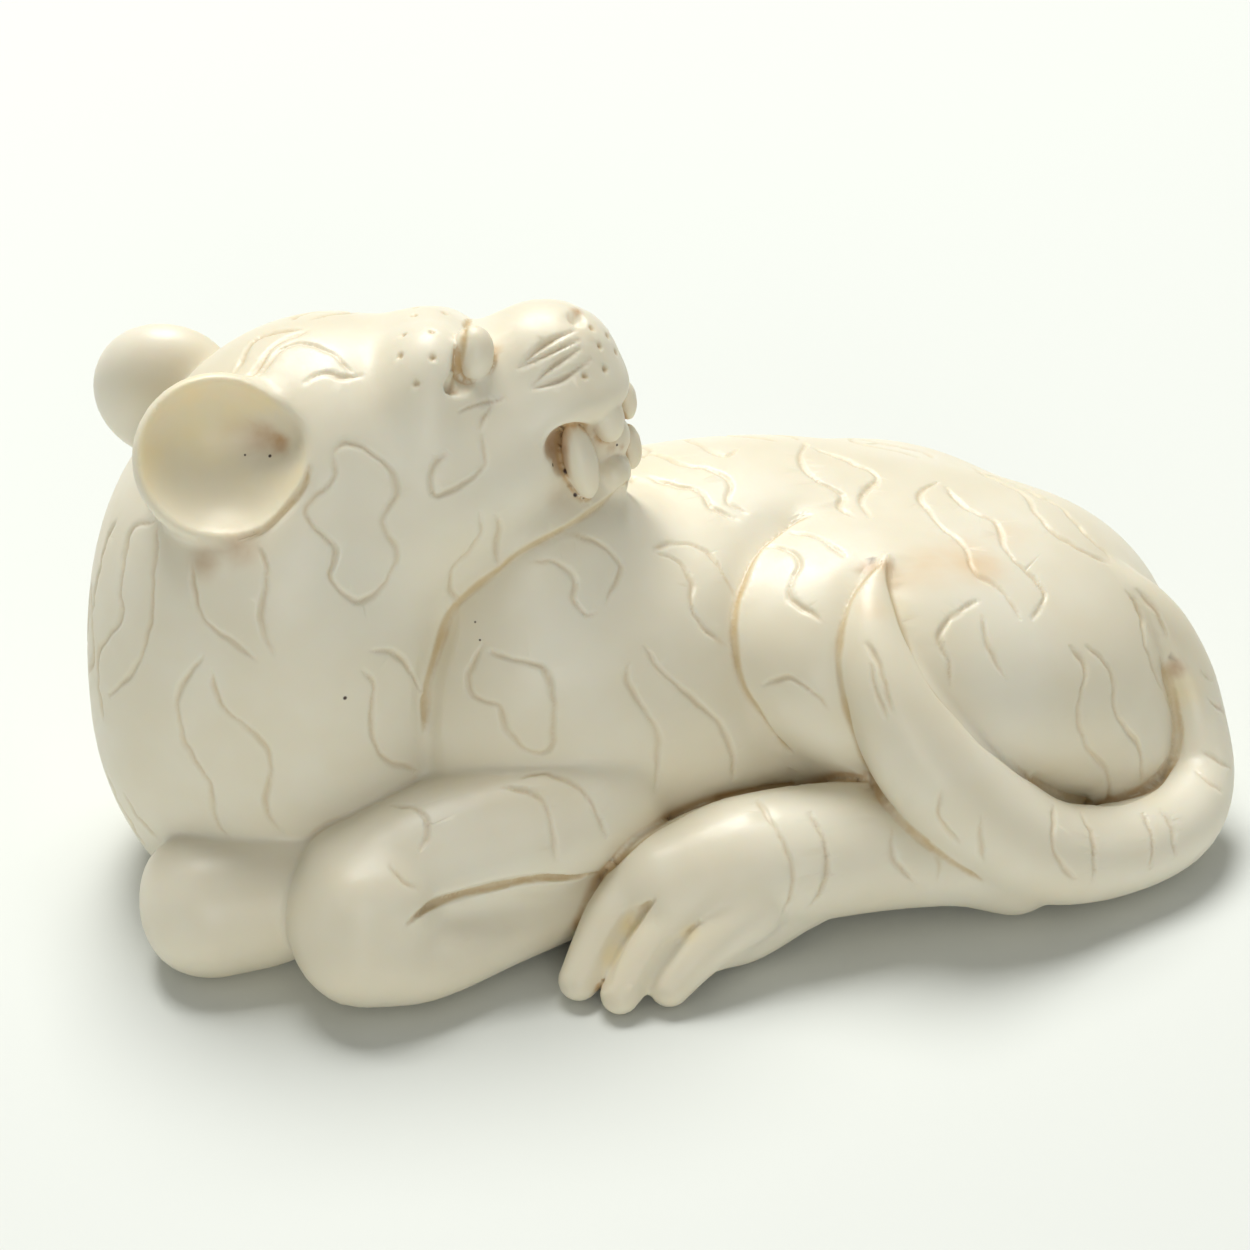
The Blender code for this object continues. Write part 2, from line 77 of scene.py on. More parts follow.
# The head lies back over the near shoulder. Its masses are in its own directions:
# forward, away from the legs, up
headForm = dict(
    at=(-11.0, 0.5, 23.2), yaw=-17, pitch=7, roll=14, farDrop=0.5,
    masses=[
        dict(at=(-3.5, 0.0, 0.2), half=(6.8, 6.4, 5.7), blend=0),                         # skull
        dict(at=(1.7, 0.0, -0.6), half=(3.9, 5.4, 6.3), blend=1.6),                       # brow
        dict(at=(1.8, -2.9, 2.5), half=(2.2, 2.3, 3.2), turn=(0, 14, 0), blend=1.2),      # near brow
        dict(at=(1.8, 2.9, 1.5), half=(2.2, 2.3, 3.2), turn=(0, 14, 0), blend=1.2),       # far brow
        dict(at=(0.8, -1.5, -2.6), half=(5.2, 4.4, 4.2), blend=2),                        # near cheek
        dict(at=(0.8, 1.5, -3.4), half=(5.2, 4.4, 4.2), blend=2),                         # far cheek
        dict(at=(5.2, 0.3, 1.3), half=(3.0, 3.0, 2.6), blend=1.8),                        # nose bridge
        dict(at=(7.1, 0.0, 2.4), half=(3.6, 3.2, 3.1), blend=1.2),                        # muzzle
        dict(at=(7.8, 0.0, 1.1), half=(3.25, 3.5, 1.9), blend=1),                         # lips
        dict(at=(5.2, 0.0, -1.4), half=(3.4, 4.1, 3.3), blend=2.4),                       # mouth corners
    ],
    jaw=[(1.5, 0.0, -5.0, 3.4), (5.5, 0.0, -4.1, 2.6), (9.2, 0.0, -3.2, 1.45)],
    hollows=[
        dict(at=(4.4, -4.7, 4.35), half=(0.97, 2.1, 1.9), turn=(0, 20, 12)),              # near socket
        dict(at=(4.4, 4.7, 2.95), half=(0.97, 2.1, 1.9), turn=(0, 20, -12)),              # far socket
        dict(at=(10.0, -3.5, -1.35), half=(2.8, 2.4, 1.65), turn=(0, -10, 0)),            # near gape
        dict(at=(9.9, 3.5, -1.45), half=(2.9, 2.4, 1.75), turn=(0, -10, 0)),              # far gape
        dict(at=(8.3, -3.8, -0.7), half=(1.35, 2.1, 1.15)),                               # near corner
        dict(at=(8.3, 3.8, -0.7), half=(1.35, 2.1, 1.15)),                                # far corner
        dict(at=(11.3, 0.0, -1.1), half=(1.9, 2.8, 1.5), turn=(0, -10, 0)),               # front gape
        dict(at=(9.2, -1.1, 5.1), half=(0.5, 0.6, 0.8), turn=(0, 20, 0)),                 # near nostril
        dict(at=(9.2, 1.1, 4.9), half=(0.5, 0.6, 0.8), turn=(0, 20, 0)),                  # far nostril
        dict(at=(3.75, -4.5, 3.4), half=(1.15, 0.7, 0.55), turn=(0, -22, 0)),             # below the near eye
        dict(at=(4.2, -3.2, 5.8), half=(0.55, 0.95, 0.7)),                                # above the near eye
        dict(at=(3.75, 4.5, 2.0), half=(1.15, 0.7, 0.55), turn=(0, -22, 0)),              # below the far eye
    ],
    standing=[
        dict(at=(4.2, -3.0, 4.2), half=(1.0, 1.0, 1.38), turn=(0, 10, 0)),                # near eyeball
        dict(at=(4.2, 2.9, 2.7), half=(1.0, 1.0, 1.38), turn=(0, 10, 0)),                # far eyeball
        dict(at=(9.0, 0.4, -1.6), half=(1.8, 1.7, 1.5)),                                  # tongue
        dict(at=(8.5, -2.45, -1.75), half=(0.8, 0.82, 1.92), turn=(0, -7, 0)),            # near lower tooth
        dict(at=(10.6, 1.6, -2.6), half=(0.6, 0.6, 1.15)),                                # far lower tooth
        dict(at=(9.95, -1.35, -0.2), half=(0.8, 0.75, 1.15)),                             # near upper tooth
        dict(at=(10.75, 1.45, -0.2), half=(0.5, 0.5, 1.0)),                               # far upper tooth
        dict(at=(9.8, -0.8, -3.15), half=(0.85, 0.75, 0.95), turn=(0, 14, 0)),                # chin
    ],
    ears=[
        dict(at=(-7.95, -5.8, 1.25), opens=(0.15, -0.93, 0.33), radius=4.0),
        dict(at=(-11.6, 5.0, 1.6), opens=(0.15, 0.93, 0.33), radius=3.75),
    ],
    jawBlend=1, hollowEdge=0.2, standingEdge=0.12, earDepth=2.6, earBlend=0.5,
    dish=dict(height=2.7, widen=0.16, deep=3.6, edge=0.55),
    pit=dict(forward=2.3, rise=0.5, sink=0.35, half=(1.25, 0.95, 1.5), blend=1.5),
)

# Limbs and tail: x, y, z and radius at each station
limbForm = dict(
    forelegs=[
        dict(blend=0.5, route=[(-4.0, -8.8, 6.8, 3.4), (-7.5, -9.9, 6.4, 3.5), (-11.5, -10.1, 6.0, 3.5),
                               (-15.3, -10.7, 5.2, 3.45), (-16.8, -11.2, 4.4, 3.3)]),     # near forearm
        dict(blend=1.1, route=[(-16.9, -12.4, 3.4, 3.2), (-14.2, -13.2, 2.5, 2.35), (-10.0, -12.2, 2.4, 2.0),
                               (-5.8, -11.3, 2.3, 1.55), (-2.5, -10.3, 2.4, 1.3)]),       # near paw
        dict(blend=0.4, route=[(-17.0, -6.0, 3.8, 3.5), (-20.0, -7.5, 3.4, 3.5), (-23.0, -7.4, 3.1, 3.5)]),
        dict(blend=0.8, route=[(-12.0, 7.0, 3.4, 2.9), (-6.0, 9.4, 3.6, 3.1), (-1.0, 9.0, 4.4, 2.6)]),
    ],
    # Squared ends of the folded wrists
    wrists=[
        dict(at=(-16.3, -11.5, 4.1), half=(3.0, 3.6, 4.0), square=3, blend=0.5),
        dict(at=(-22.2, -7.2, 3.2), half=(4.0, 3.0, 3.1), square=3, blend=0.5),
    ],
    hindLegs=[
        dict(blend=0.4, route=[(15.2, -15.0, 2.7, 2.6), (12.5, -14.3, 3.6, 2.8), (8.1, -13.4, 4.1, 3.25),
                               (1.9, -13.3, 4.3, 3.3), (-1.9, -13.4, 3.9, 2.8)]),         # near foot
        dict(blend=0.5, route=[(4.5, -14.6, 2.2, 1.2), (1.7, -15.3, 1.4, 1.15), (-0.5, -16.2, 1.9, 1.1)]),
        dict(blend=0.4, route=[(-2.2, -12.7, 4.0, 2.0), (-4.8, -13.9, 3.1, 1.4), (-7.1, -15.7, 1.1, 1.0)]),
        dict(blend=0.4, route=[(-0.9, -14.5, 4.0, 1.8), (-3.5, -16.0, 2.6, 1.25), (-5.5, -17.2, 1.0, 0.95)]),
        dict(blend=0.4, route=[(1.4, -15.4, 3.4, 1.8), (-1.2, -16.6, 2.4, 1.3), (-3.1, -17.4, 1.1, 1.0)]),
        dict(blend=0.4, route=[(20.0, 4.6, 2.6, 2.5), (14.0, 8.0, 2.8, 2.7), (8.0, 9.8, 2.7, 2.6),
                               (4.2, 10.2, 2.2, 2.1)]),                                   # far foot
    ],
    tail=[
        (20.5, -4.5, 12.5, 0.99), (23.0, -6.3, 12.0, 1.29), (25.1, -7.7, 10.4, 1.4), (26.4, -9.0, 8.0, 1.4),
        (26.8, -10.2, 5.5, 1.51), (26.5, -11.8, 3.5, 1.7), (24.9, -13.7, 2.7, 2.01), (22.6, -14.9, 2.5, 2.2),
        (19.1, -15.6, 2.8, 2.39), (16.0, -15.8, 4.0, 2.61), (13.1, -15.0, 6.4, 2.75), (10.9, -13.8, 9.2, 2.7),
        (9.5, -12.4, 12.1, 2.2), (9.1, -10.8, 14.2, 1.6), (9.6, -9.1, 15.6, 0.99), (10.8, -7.7, 16.7, 0.28),
    ],
    tailBlend=0.3, steps=7, tailSteps=16, skipBeyond=2.5,
)

# Shallow valleys that set one form off from the next: a route with the half width at each station
valleys = [
    dict(depth=0.25, route=[(-10.3, -6.2, 17.2, 0.2), (-11.1, -6.5, 15.6, 0.9), (-12.1, -7.3, 13.4, 0.9),
                            (-12.2, -8.0, 9.5, 0.9)]),                    # shoulder
    dict(depth=0.35, route=[(-15.5, -15.0, 5.7, 0.05), (-14.6, -14.7, 6.1, 0.25), (-13.2, -13.7, 5.9, 0.4),
                            (-8.7, -13.4, 5.9, 0.4), (-6.0, -12.7, 4.9, 0.35)]),    # fold of the paw
    dict(depth=0.5, route=[(-3.3, -15.6, 5.0, 0.15), (-4.2, -15.2, 3.8, 0.6), (-5.4, -15.8, 2.7, 0.6),
                           (-6.3, -16.9, 1.8, 0.6)]),                     # first toes
    dict(depth=0.5, route=[(-1.5, -16.8, 3.9, 0.15), (-2.8, -17.1, 3.2, 0.6), (-3.8, -17.6, 2.4, 0.6),
                           (-4.4, -17.9, 1.6, 0.6)]),                     # last toes
]


# Rotation from turns about X, then Y, then Z, in degrees
def turned(turn):
    aboutX, aboutY, aboutZ = (math.radians(angle) for angle in turn)
    spin = Matrix.Rotation(aboutZ, 3, 'Z') @ Matrix.Rotation(aboutY, 3, 'Y') @ Matrix.Rotation(aboutX, 3, 'X')
    return np.array(spin)


def headDirections():
    yaw, pitch, roll = (math.radians(headForm[key]) for key in ("yaw", "pitch", "roll"))
    level = np.array([math.cos(yaw), math.sin(yaw), 0])
    forward = level * math.cos(pitch) + np.array([0, 0, math.sin(pitch)])
    across = np.array([-math.sin(yaw), math.cos(yaw), 0])
    side = across * math.cos(roll) - np.cross(forward, across) * math.sin(roll)
    return np.array([forward, side, np.cross(forward, side)]).T


headTurn = headDirections()


def onHead(at):
    return np.array(headForm["at"]) + np.asarray(at) @ headTurn.T


def eggOf(mass, ofHead=False):
    spin = turned(mass.get("turn", (0, 0, 0)))
    rest = mass.get("blend", 0), mass.get("square", 2)
    if ofHead:
        return onHead(mass["at"]), np.array(mass["half"]), headTurn @ spin, *rest
    return np.array(mass["at"]), np.array(mass["half"]), spin, *rest


# An ear is a bowl, the dish in it, and a pit in the dish on the face's side
def earEggs(ear):
    opens = headTurn @ np.array(ear["opens"])
    opens /= np.linalg.norm(opens)
    across = np.cross(opens, (0, 0, 1))
    across /= np.linalg.norm(across)
    spin = np.array([across, np.cross(opens, across), opens]).T
    outer = ear["radius"]
    middle = onHead(ear["at"])
    bowl = (middle, np.array((outer, outer, headForm["earDepth"])), spin, headForm["earBlend"], 2)
    dish, pit = headForm["dish"], headForm["pit"]
    wide = outer + dish["widen"]
    hollow = (middle + opens * dish["height"], np.array((wide, wide, dish["deep"])), spin, 0, 2)
    place = middle + headTurn[:, 0] * pit["forward"] + headTurn[:, 2] * pit["rise"] + opens * pit["sink"]
    deeper = (place, np.array(pit["half"]), spin, pit["blend"], 2)
    return bowl, hollow, deeper


# The stations four by four, with one more past each end, so that a curve reaches both ends
def inFours(stations):
    rows = np.array(stations, float)
    rows = np.vstack([2 * rows[0] - rows[1], rows, 2 * rows[-1] - rows[-2]])
    return zip(rows[:-3], rows[1:-2], rows[2:-1], rows[3:])


# Smooth curve from b to c, led by the stations before and after
def curve(a, b, c, d, t):
    bend = (2 * a - 5 * b + 4 * c - d) * t ** 2 + (3 * b - a - 3 * c + d) * t ** 3
    return (2 * b + (c - a) * t + bend) / 2


# Smooth route through stations, as one run of rows for each span between two of them
def spansOf(stations, steps=limbForm["steps"]):
    t = np.linspace(0, 1, steps + 1)[:, None]
    return [curve(*four, t) for four in inFours(stations)]


trunkEggs = [eggOf(mass) for mass in bodyForm["trunk"]]
neckEggs = [eggOf(mass) for mass in bodyForm["neck"]]
haunchEggs = [eggOf(mass) for mass in bodyForm["haunch"]]
headEggs = [eggOf(mass, True) for mass in headForm["masses"]]
hollowEggs = [eggOf(mass, True) for mass in headForm["hollows"]]
standingEggs = [eggOf(mass, True) for mass in headForm["standing"]]
earSets = [earEggs(ear) for ear in headForm["ears"]]
wristEggs = [eggOf(mass) for mass in limbForm["wrists"]]
jawSpans = spansOf([(*onHead(row[:3]), row[3]) for row in headForm["jaw"]])
foreSpans = [(spansOf(limb["route"]), limb["blend"]) for limb in limbForm["forelegs"]]
hindSpans = [(spansOf(limb["route"]), limb["blend"]) for limb in limbForm["hindLegs"]]
tailSpans = spansOf(limbForm["tail"], limbForm["tailSteps"])
valleySpans = [(spansOf(valley["route"]), max(row[3] for row in valley["route"]), valley["depth"])
               for valley in valleys]


# How far points lie outside an egg-shaped mass, or one with flatter faces where square is over 2
def eggGap(points, egg):
    middle, half, spin, blend, square = egg
    local = (points - middle) @ spin / half
    if square == 2:
        near = np.sqrt((local ** 2).sum(1))
        steep = np.sqrt(((local / half) ** 2).sum(1)) + 1e-9
        return near * (near - 1) / steep
    local = np.abs(local)
    near = (local ** square).sum(1) ** (1 / square)
    steep = np.sqrt(((local ** (square - 1) / half) ** 2).sum(1)) + 1e-9
    return near ** (square - 1) * (near - 1) / steep


# How far points lie outside a limb. Points far from a span skip it.
def limbGap(points, spans):
    gap = np.full(len(points), 50.0)
    for rows in spans:
        reach = rows[:, 3:] + limbForm["skipBeyond"]
        low = (rows[:, :3] - reach).min(0)
        high = (rows[:, :3] + reach).max(0)
        near = np.flatnonzero(((points > low) & (points < high)).all(1))
        if len(near) == 0:
            continue
        some = points[near]
        best = gap[near]
        for start, end in zip(rows[:-1], rows[1:]):
            along = end[:3] - start[:3]
            fromStart = some - start[:3]
            t = np.clip(fromStart @ along / (along @ along), 0, 1)
            away = np.sqrt(((fromStart - t[:, None] * along) ** 2).sum(1))
            best = np.minimum(best, away - start[3] - (end[3] - start[3]) * t)
        gap[near] = best
    return gap


# Two gaps joined with a fillet as wide as the blend
def joined(a, b, blend):
    if blend <= 0:
        return np.minimum(a, b)
    near = np.maximum(blend - np.abs(a - b), 0) / blend
    return np.minimum(a, b) - near ** 2 * blend / 4


def groupGap(points, eggs):
    gap = np.full(len(points), 1e6)
    for egg in eggs:
        gap = joined(gap, eggGap(points, egg), egg[3])
    return gap


def valleyDepth(points):
    depth = np.zeros(len(points))
    for spans, widest, deep in valleySpans:
        share = np.clip(-limbGap(points, spans) / widest, 0, 1)
        depth = np.maximum(depth, deep * share ** 2 * (3 - 2 * share))
    return depth


def figureGap(points):
    head = joined(groupGap(points, headEggs), limbGap(points, jawSpans), headForm["jawBlend"])
    front = joined(groupGap(points, neckEggs), head, bodyForm["neckBlend"])
    gap = joined(groupGap(points, trunkEggs), front, bodyForm["bodyBlend"])
    for spans, blend in foreSpans:
        gap = joined(gap, limbGap(points, spans), blend)
    for egg in wristEggs:
        gap = joined(gap, eggGap(points, egg), egg[3])
    gap = joined(gap, groupGap(points, haunchEggs), bodyForm["bodyBlend"])
    for spans, blend in hindSpans:
        gap = joined(gap, limbGap(points, spans), blend)
    gap = joined(gap, limbGap(points, tailSpans), limbForm["tailBlend"])
    for bowl, hollow, pit in earSets:
        gap = joined(gap, eggGap(points, bowl), bowl[3])
    return gap + valleyDepth(points)


# The figure with its hollows cut, what stands in them, and the flat underside
def carvedGap(points):
    gap = figureGap(points)
    for bowl, hollow, pit in earSets:
        cup = joined(eggGap(points, hollow), eggGap(points, pit), pit[3])
        gap = -joined(-gap, cup, headForm["dish"]["edge"])
    for egg in hollowEggs:
        gap = -joined(-gap, eggGap(points, egg), headForm["hollowEdge"])
    for egg in standingEggs:
        gap = joined(gap, eggGap(points, egg), headForm["standingEdge"])
    return np.maximum(gap, -points[:, 2])


tetraCorners = np.array([(1, -1, -1), (-1, -1, 1), (-1, 1, -1), (1, 1, 1)], float)


# Gap and outward direction at points, from four readings a small step around each
def gapAndSlope(points, step=0.03):
    readings = [carvedGap(points + corner * step) for corner in tetraCorners]
    slope = sum(corner * reading[:, None] for corner, reading in zip(tetraCorners, readings))
    slope /= np.linalg.norm(slope, axis=1, keepdims=True) + 1e-9
    return sum(readings) / 4, slope


# Draws points straight onto the surface
def drawOn(points, rounds=2, reach=0.5):
    for _ in range(rounds):
        gap, slope = gapAndSlope(points)
        points = points - slope * np.clip(gap, -reach, reach)[:, None]
    points[:, 2] = np.maximum(points[:, 2], 0)
    return points


# The skin: a net of faces laid over the carving on a grid, thinned out, then made finer where it is cut
skinForm = dict(
    grain=0.25, low=(-27.6, -19.2, -0.6), high=(29.2, 13.4, 30.6), coarse=4, closeBy=1.25, parts=8,
    keepTriangles=42000, levels=6, fineEdge=0.16, fineReach=0.26, lineEdge=1.35, lineNear=1.2,
    sharpBend=0.82, mostTriangles=198000, creaseHeight=0.3, hollowHeight=1.6,
)


def gridGaps():
    grain, coarse = skinForm["grain"], skinForm["coarse"]
    low = np.array(skinForm["low"])
    cells = np.ceil((np.array(skinForm["high"]) - low) / (grain * coarse)).astype(int)
    axes = [low[i] + np.arange(cells[i] + 1) * grain * coarse for i in range(3)]
    places = np.stack(np.meshgrid(*axes, indexing="ij"), -1)
    rough = carvedGap(places.reshape(-1, 3)).reshape(places.shape[:3])
    corners = [rough[i:i + cells[0], j:j + cells[1], k:k + cells[2]]
               for i in (0, 1) for j in (0, 1) for k in (0, 1)]
    close = np.abs(corners).min(0) < grain * coarse * skinForm["closeBy"]
    size = cells * coarse + 1
    fine = np.repeat(np.repeat(np.repeat(rough, coarse, 0), coarse, 1), coarse, 2)
    fine = fine[:size[0], :size[1], :size[2]].copy()
    wanted = np.zeros(size, bool)
    block = np.repeat(np.repeat(np.repeat(close, coarse, 0), coarse, 1), coarse, 2)
    for i in (0, 1):
        for j in (0, 1):
            for k in (0, 1):
                wanted[i:size[0] - 1 + i, j:size[1] - 1 + j, k:size[2] - 1 + k] |= block
    index = np.argwhere(wanted)
    parts = np.array_split(index, skinForm["parts"])
    values = np.concatenate([carvedGap(low + part * grain) for part in parts])
    fine[tuple(index.T)] = values
    return fine, low, grain


def netOver(gaps, low, grain):
    inside = gaps < 0
    cellCount = np.array(gaps.shape) - 1
    strides = np.array([cellCount[1] * cellCount[2], cellCount[2], 1])
    total = np.zeros((int(np.prod(cellCount)), 3))
    count = np.zeros(int(np.prod(cellCount)))
    quads = []
    for axis in range(3):
        other = [i for i in range(3) if i != axis]
        first = [slice(None)] * 3
        second = [slice(None)] * 3
        first[axis] = slice(0, -1)
        second[axis] = slice(1, None)
        crossing = np.argwhere(inside[tuple(first)] != inside[tuple(second)])
        room = (crossing[:, other] > 0).all(1) & (crossing[:, other] < cellCount[other]).all(1)
        crossing = crossing[room]
        beyond = crossing.copy()
        beyond[:, axis] += 1
        a = gaps[tuple(crossing.T)]
        b = gaps[tuple(beyond.T)]
        place = crossing.astype(float)
        place[:, axis] += a / (a - b)
        around = []
        for shift in ((-1, -1), (0, -1), (0, 0), (-1, 0)):
            cell = crossing.copy()
            cell[:, other[0]] += shift[0]
            cell[:, other[1]] += shift[1]
            number = cell @ strides
            around.append(number)
            count += np.bincount(number, minlength=len(count))
            for i in range(3):
                total[:, i] += np.bincount(number, weights=place[:, i], minlength=len(count))
        around = np.array(around).T
        flip = (a > 0) != (axis == 1)
        around[flip] = around[flip][:, ::-1]
        quads.append(around)
    quads = np.vstack(quads)
    used = np.flatnonzero(count)
    number = np.full(len(count), -1)
    number[used] = np.arange(len(used))
    points = total[used] / count[used][:, None]
    return low + points * grain, number[quads]


def uniqueEdges(faces):
    pairs = np.vstack([faces[:, [0, 1]], faces[:, [1, 2]], faces[:, [2, 0]]])
    pairs.sort(axis=1)
    edges, back = np.unique(pairs, axis=0, return_inverse=True)
    return edges, back.reshape(3, -1).T


# Evens out the spacing of the net
def relax(points, quads, rounds=2):
    pairs = np.vstack([quads[:, [0, 1]], quads[:, [1, 2]], quads[:, [2, 3]], quads[:, [3, 0]]])
    for _ in range(rounds):
        total = np.zeros_like(points)
        count = np.bincount(pairs.ravel(), minlength=len(points))
        for i in range(3):
            total[:, i] += np.bincount(pairs[:, 0], points[pairs[:, 1], i], len(points))
            total[:, i] += np.bincount(pairs[:, 1], points[pairs[:, 0], i], len(points))
        points = points * 0.5 + total / count[:, None] * 0.5
    return points


def meshOf(name, points, faces):
    mesh = bpy.data.meshes.new(name)
    mesh.from_pydata(points.tolist(), [], faces.tolist())
    mesh.update()
    return mesh


def pointsOf(mesh):
    flat = np.empty(len(mesh.vertices) * 3)
    mesh.vertices.foreach_get("co", flat)
    return flat.reshape(-1, 3)


def trianglesOf(mesh):
    mesh.calc_loop_triangles()
    flat = np.empty(len(mesh.loop_triangles) * 3, np.int32)
    mesh.loop_triangles.foreach_get("vertices", flat)
    return flat.reshape(-1, 3).astype(np.int64)


# Fewer triangles where the surface is calm
def thinOut(points, faces, keep):
    thing = bpy.data.objects.new("net", meshOf("net", points, faces))
    bpy.context.scene.collection.objects.link(thing)
    fewer = thing.modifiers.new("fewer", 'DECIMATE')
    fewer.ratio = keep / len(trianglesOf(thing.data))
    fewer.use_collapse_triangulate = True
    seen = thing.evaluated_get(bpy.context.evaluated_depsgraph_get())
    mesh = bpy.data.meshes.new_from_object(seen)
    result = pointsOf(mesh), trianglesOf(mesh)
    old = thing.data
    bpy.data.objects.remove(thing)
    bpy.data.meshes.remove(old)
    bpy.data.meshes.remove(mesh)
    return result


gaps, gridLow, gridGrain = gridGaps()
say("gaps read on %d x %d x %d places" % gaps.shape)
skinPoints, skinQuads = netOver(gaps, gridLow, gridGrain)
skinPoints = drawOn(skinPoints, 1)
skinPoints = drawOn(relax(skinPoints, skinQuads), 1)
say("net of %d faces laid over the carving" % len(skinQuads))
skinPoints, skinFaces = thinOut(skinPoints, skinQuads, skinForm["keepTriangles"])
skinPoints = drawOn(skinPoints, 1)
say("thinned out to %d triangles" % len(skinFaces))

# The view: the camera stands off the middle of the carving and looks down at it
viewForm = dict(focal=4350.0, tilt=34.2, swing=17.0, aim=(0.0, 0.0, 10.0), distance=217.0, frame=1250,
                sensor=36, nearest=40.0, longestStep=2.4, stepShare=0.9, rounds=70, sideRounds=60,
                touch=0.002)


def viewDirections():
    tilt, swing = math.radians(viewForm["tilt"]), math.radians(viewForm["swing"])
    ahead = np.array([math.sin(swing) * math.cos(tilt), math.cos(swing) * math.cos(tilt), -math.sin(tilt)])
    right = np.array([math.cos(swing), -math.sin(swing), 0])
    return ahead, right, np.cross(ahead, right)


viewAhead, viewRight, viewDown = viewDirections()
viewEye = np.array(viewForm["aim"]) - viewAhead * viewForm["distance"]


# Points on the carving under points of the view, in the view's pixels
def underView(spots):
    spots = np.asarray(spots, float)
    across = (spots - viewForm["frame"] / 2) / viewForm["focal"]
    rays = viewAhead + across[:, :1] * viewRight + across[:, 1:] * viewDown
    rays /= np.linalg.norm(rays, axis=1, keepdims=True)
    travel = np.full(len(rays), viewForm["distance"] - viewForm["nearest"])
    best = np.full(len(rays), 1e3)
    bestTravel = travel.copy()
    for _ in range(viewForm["rounds"]):
        gap = carvedGap(viewEye + rays * travel[:, None])
        closer = gap < best - 1e-4
        best = np.where(closer, gap, best)
        bestTravel = np.where(closer, travel, bestTravel)
        step = np.clip(gap, 0.02, viewForm["longestStep"]) * viewForm["stepShare"]
        travel = travel + np.where(best < viewForm["touch"], 0, step)
    return drawOn(viewEye + rays * bestTravel[:, None], 3, 1.0)


# Points on the carving met from a far side, along a straight direction
def fromSide(starts, direction):
    direction = np.array(direction, float) / np.linalg.norm(direction)
    travel = np.zeros(len(starts))
    for _ in range(viewForm["sideRounds"]):
        gap = carvedGap(starts + direction * travel[:, None])
        travel = travel + np.clip(gap, 0, viewForm["longestStep"]) * viewForm["stepShare"]
    return drawOn(starts + direction * travel[:, None], 2)


# A smooth line through its stops, with points about 3 pixels apart
def smoothLine(stops, spacing=3.0):
    rows = np.asarray(stops, float)
    if len(rows) == 2:
        count = max(2, int(np.linalg.norm(rows[1] - rows[0]) / spacing) + 1)
        return rows[0] + (rows[1] - rows[0]) * np.linspace(0, 1, count)[:, None]
    line = []
    for a, b, c, d in inFours(rows):
        count = max(2, int(np.linalg.norm(c - b) / spacing))
        line.append(curve(a, b, c, d, (np.arange(count) / count)[:, None]))
    line.append(rows[-1:])
    return np.vstack(line)


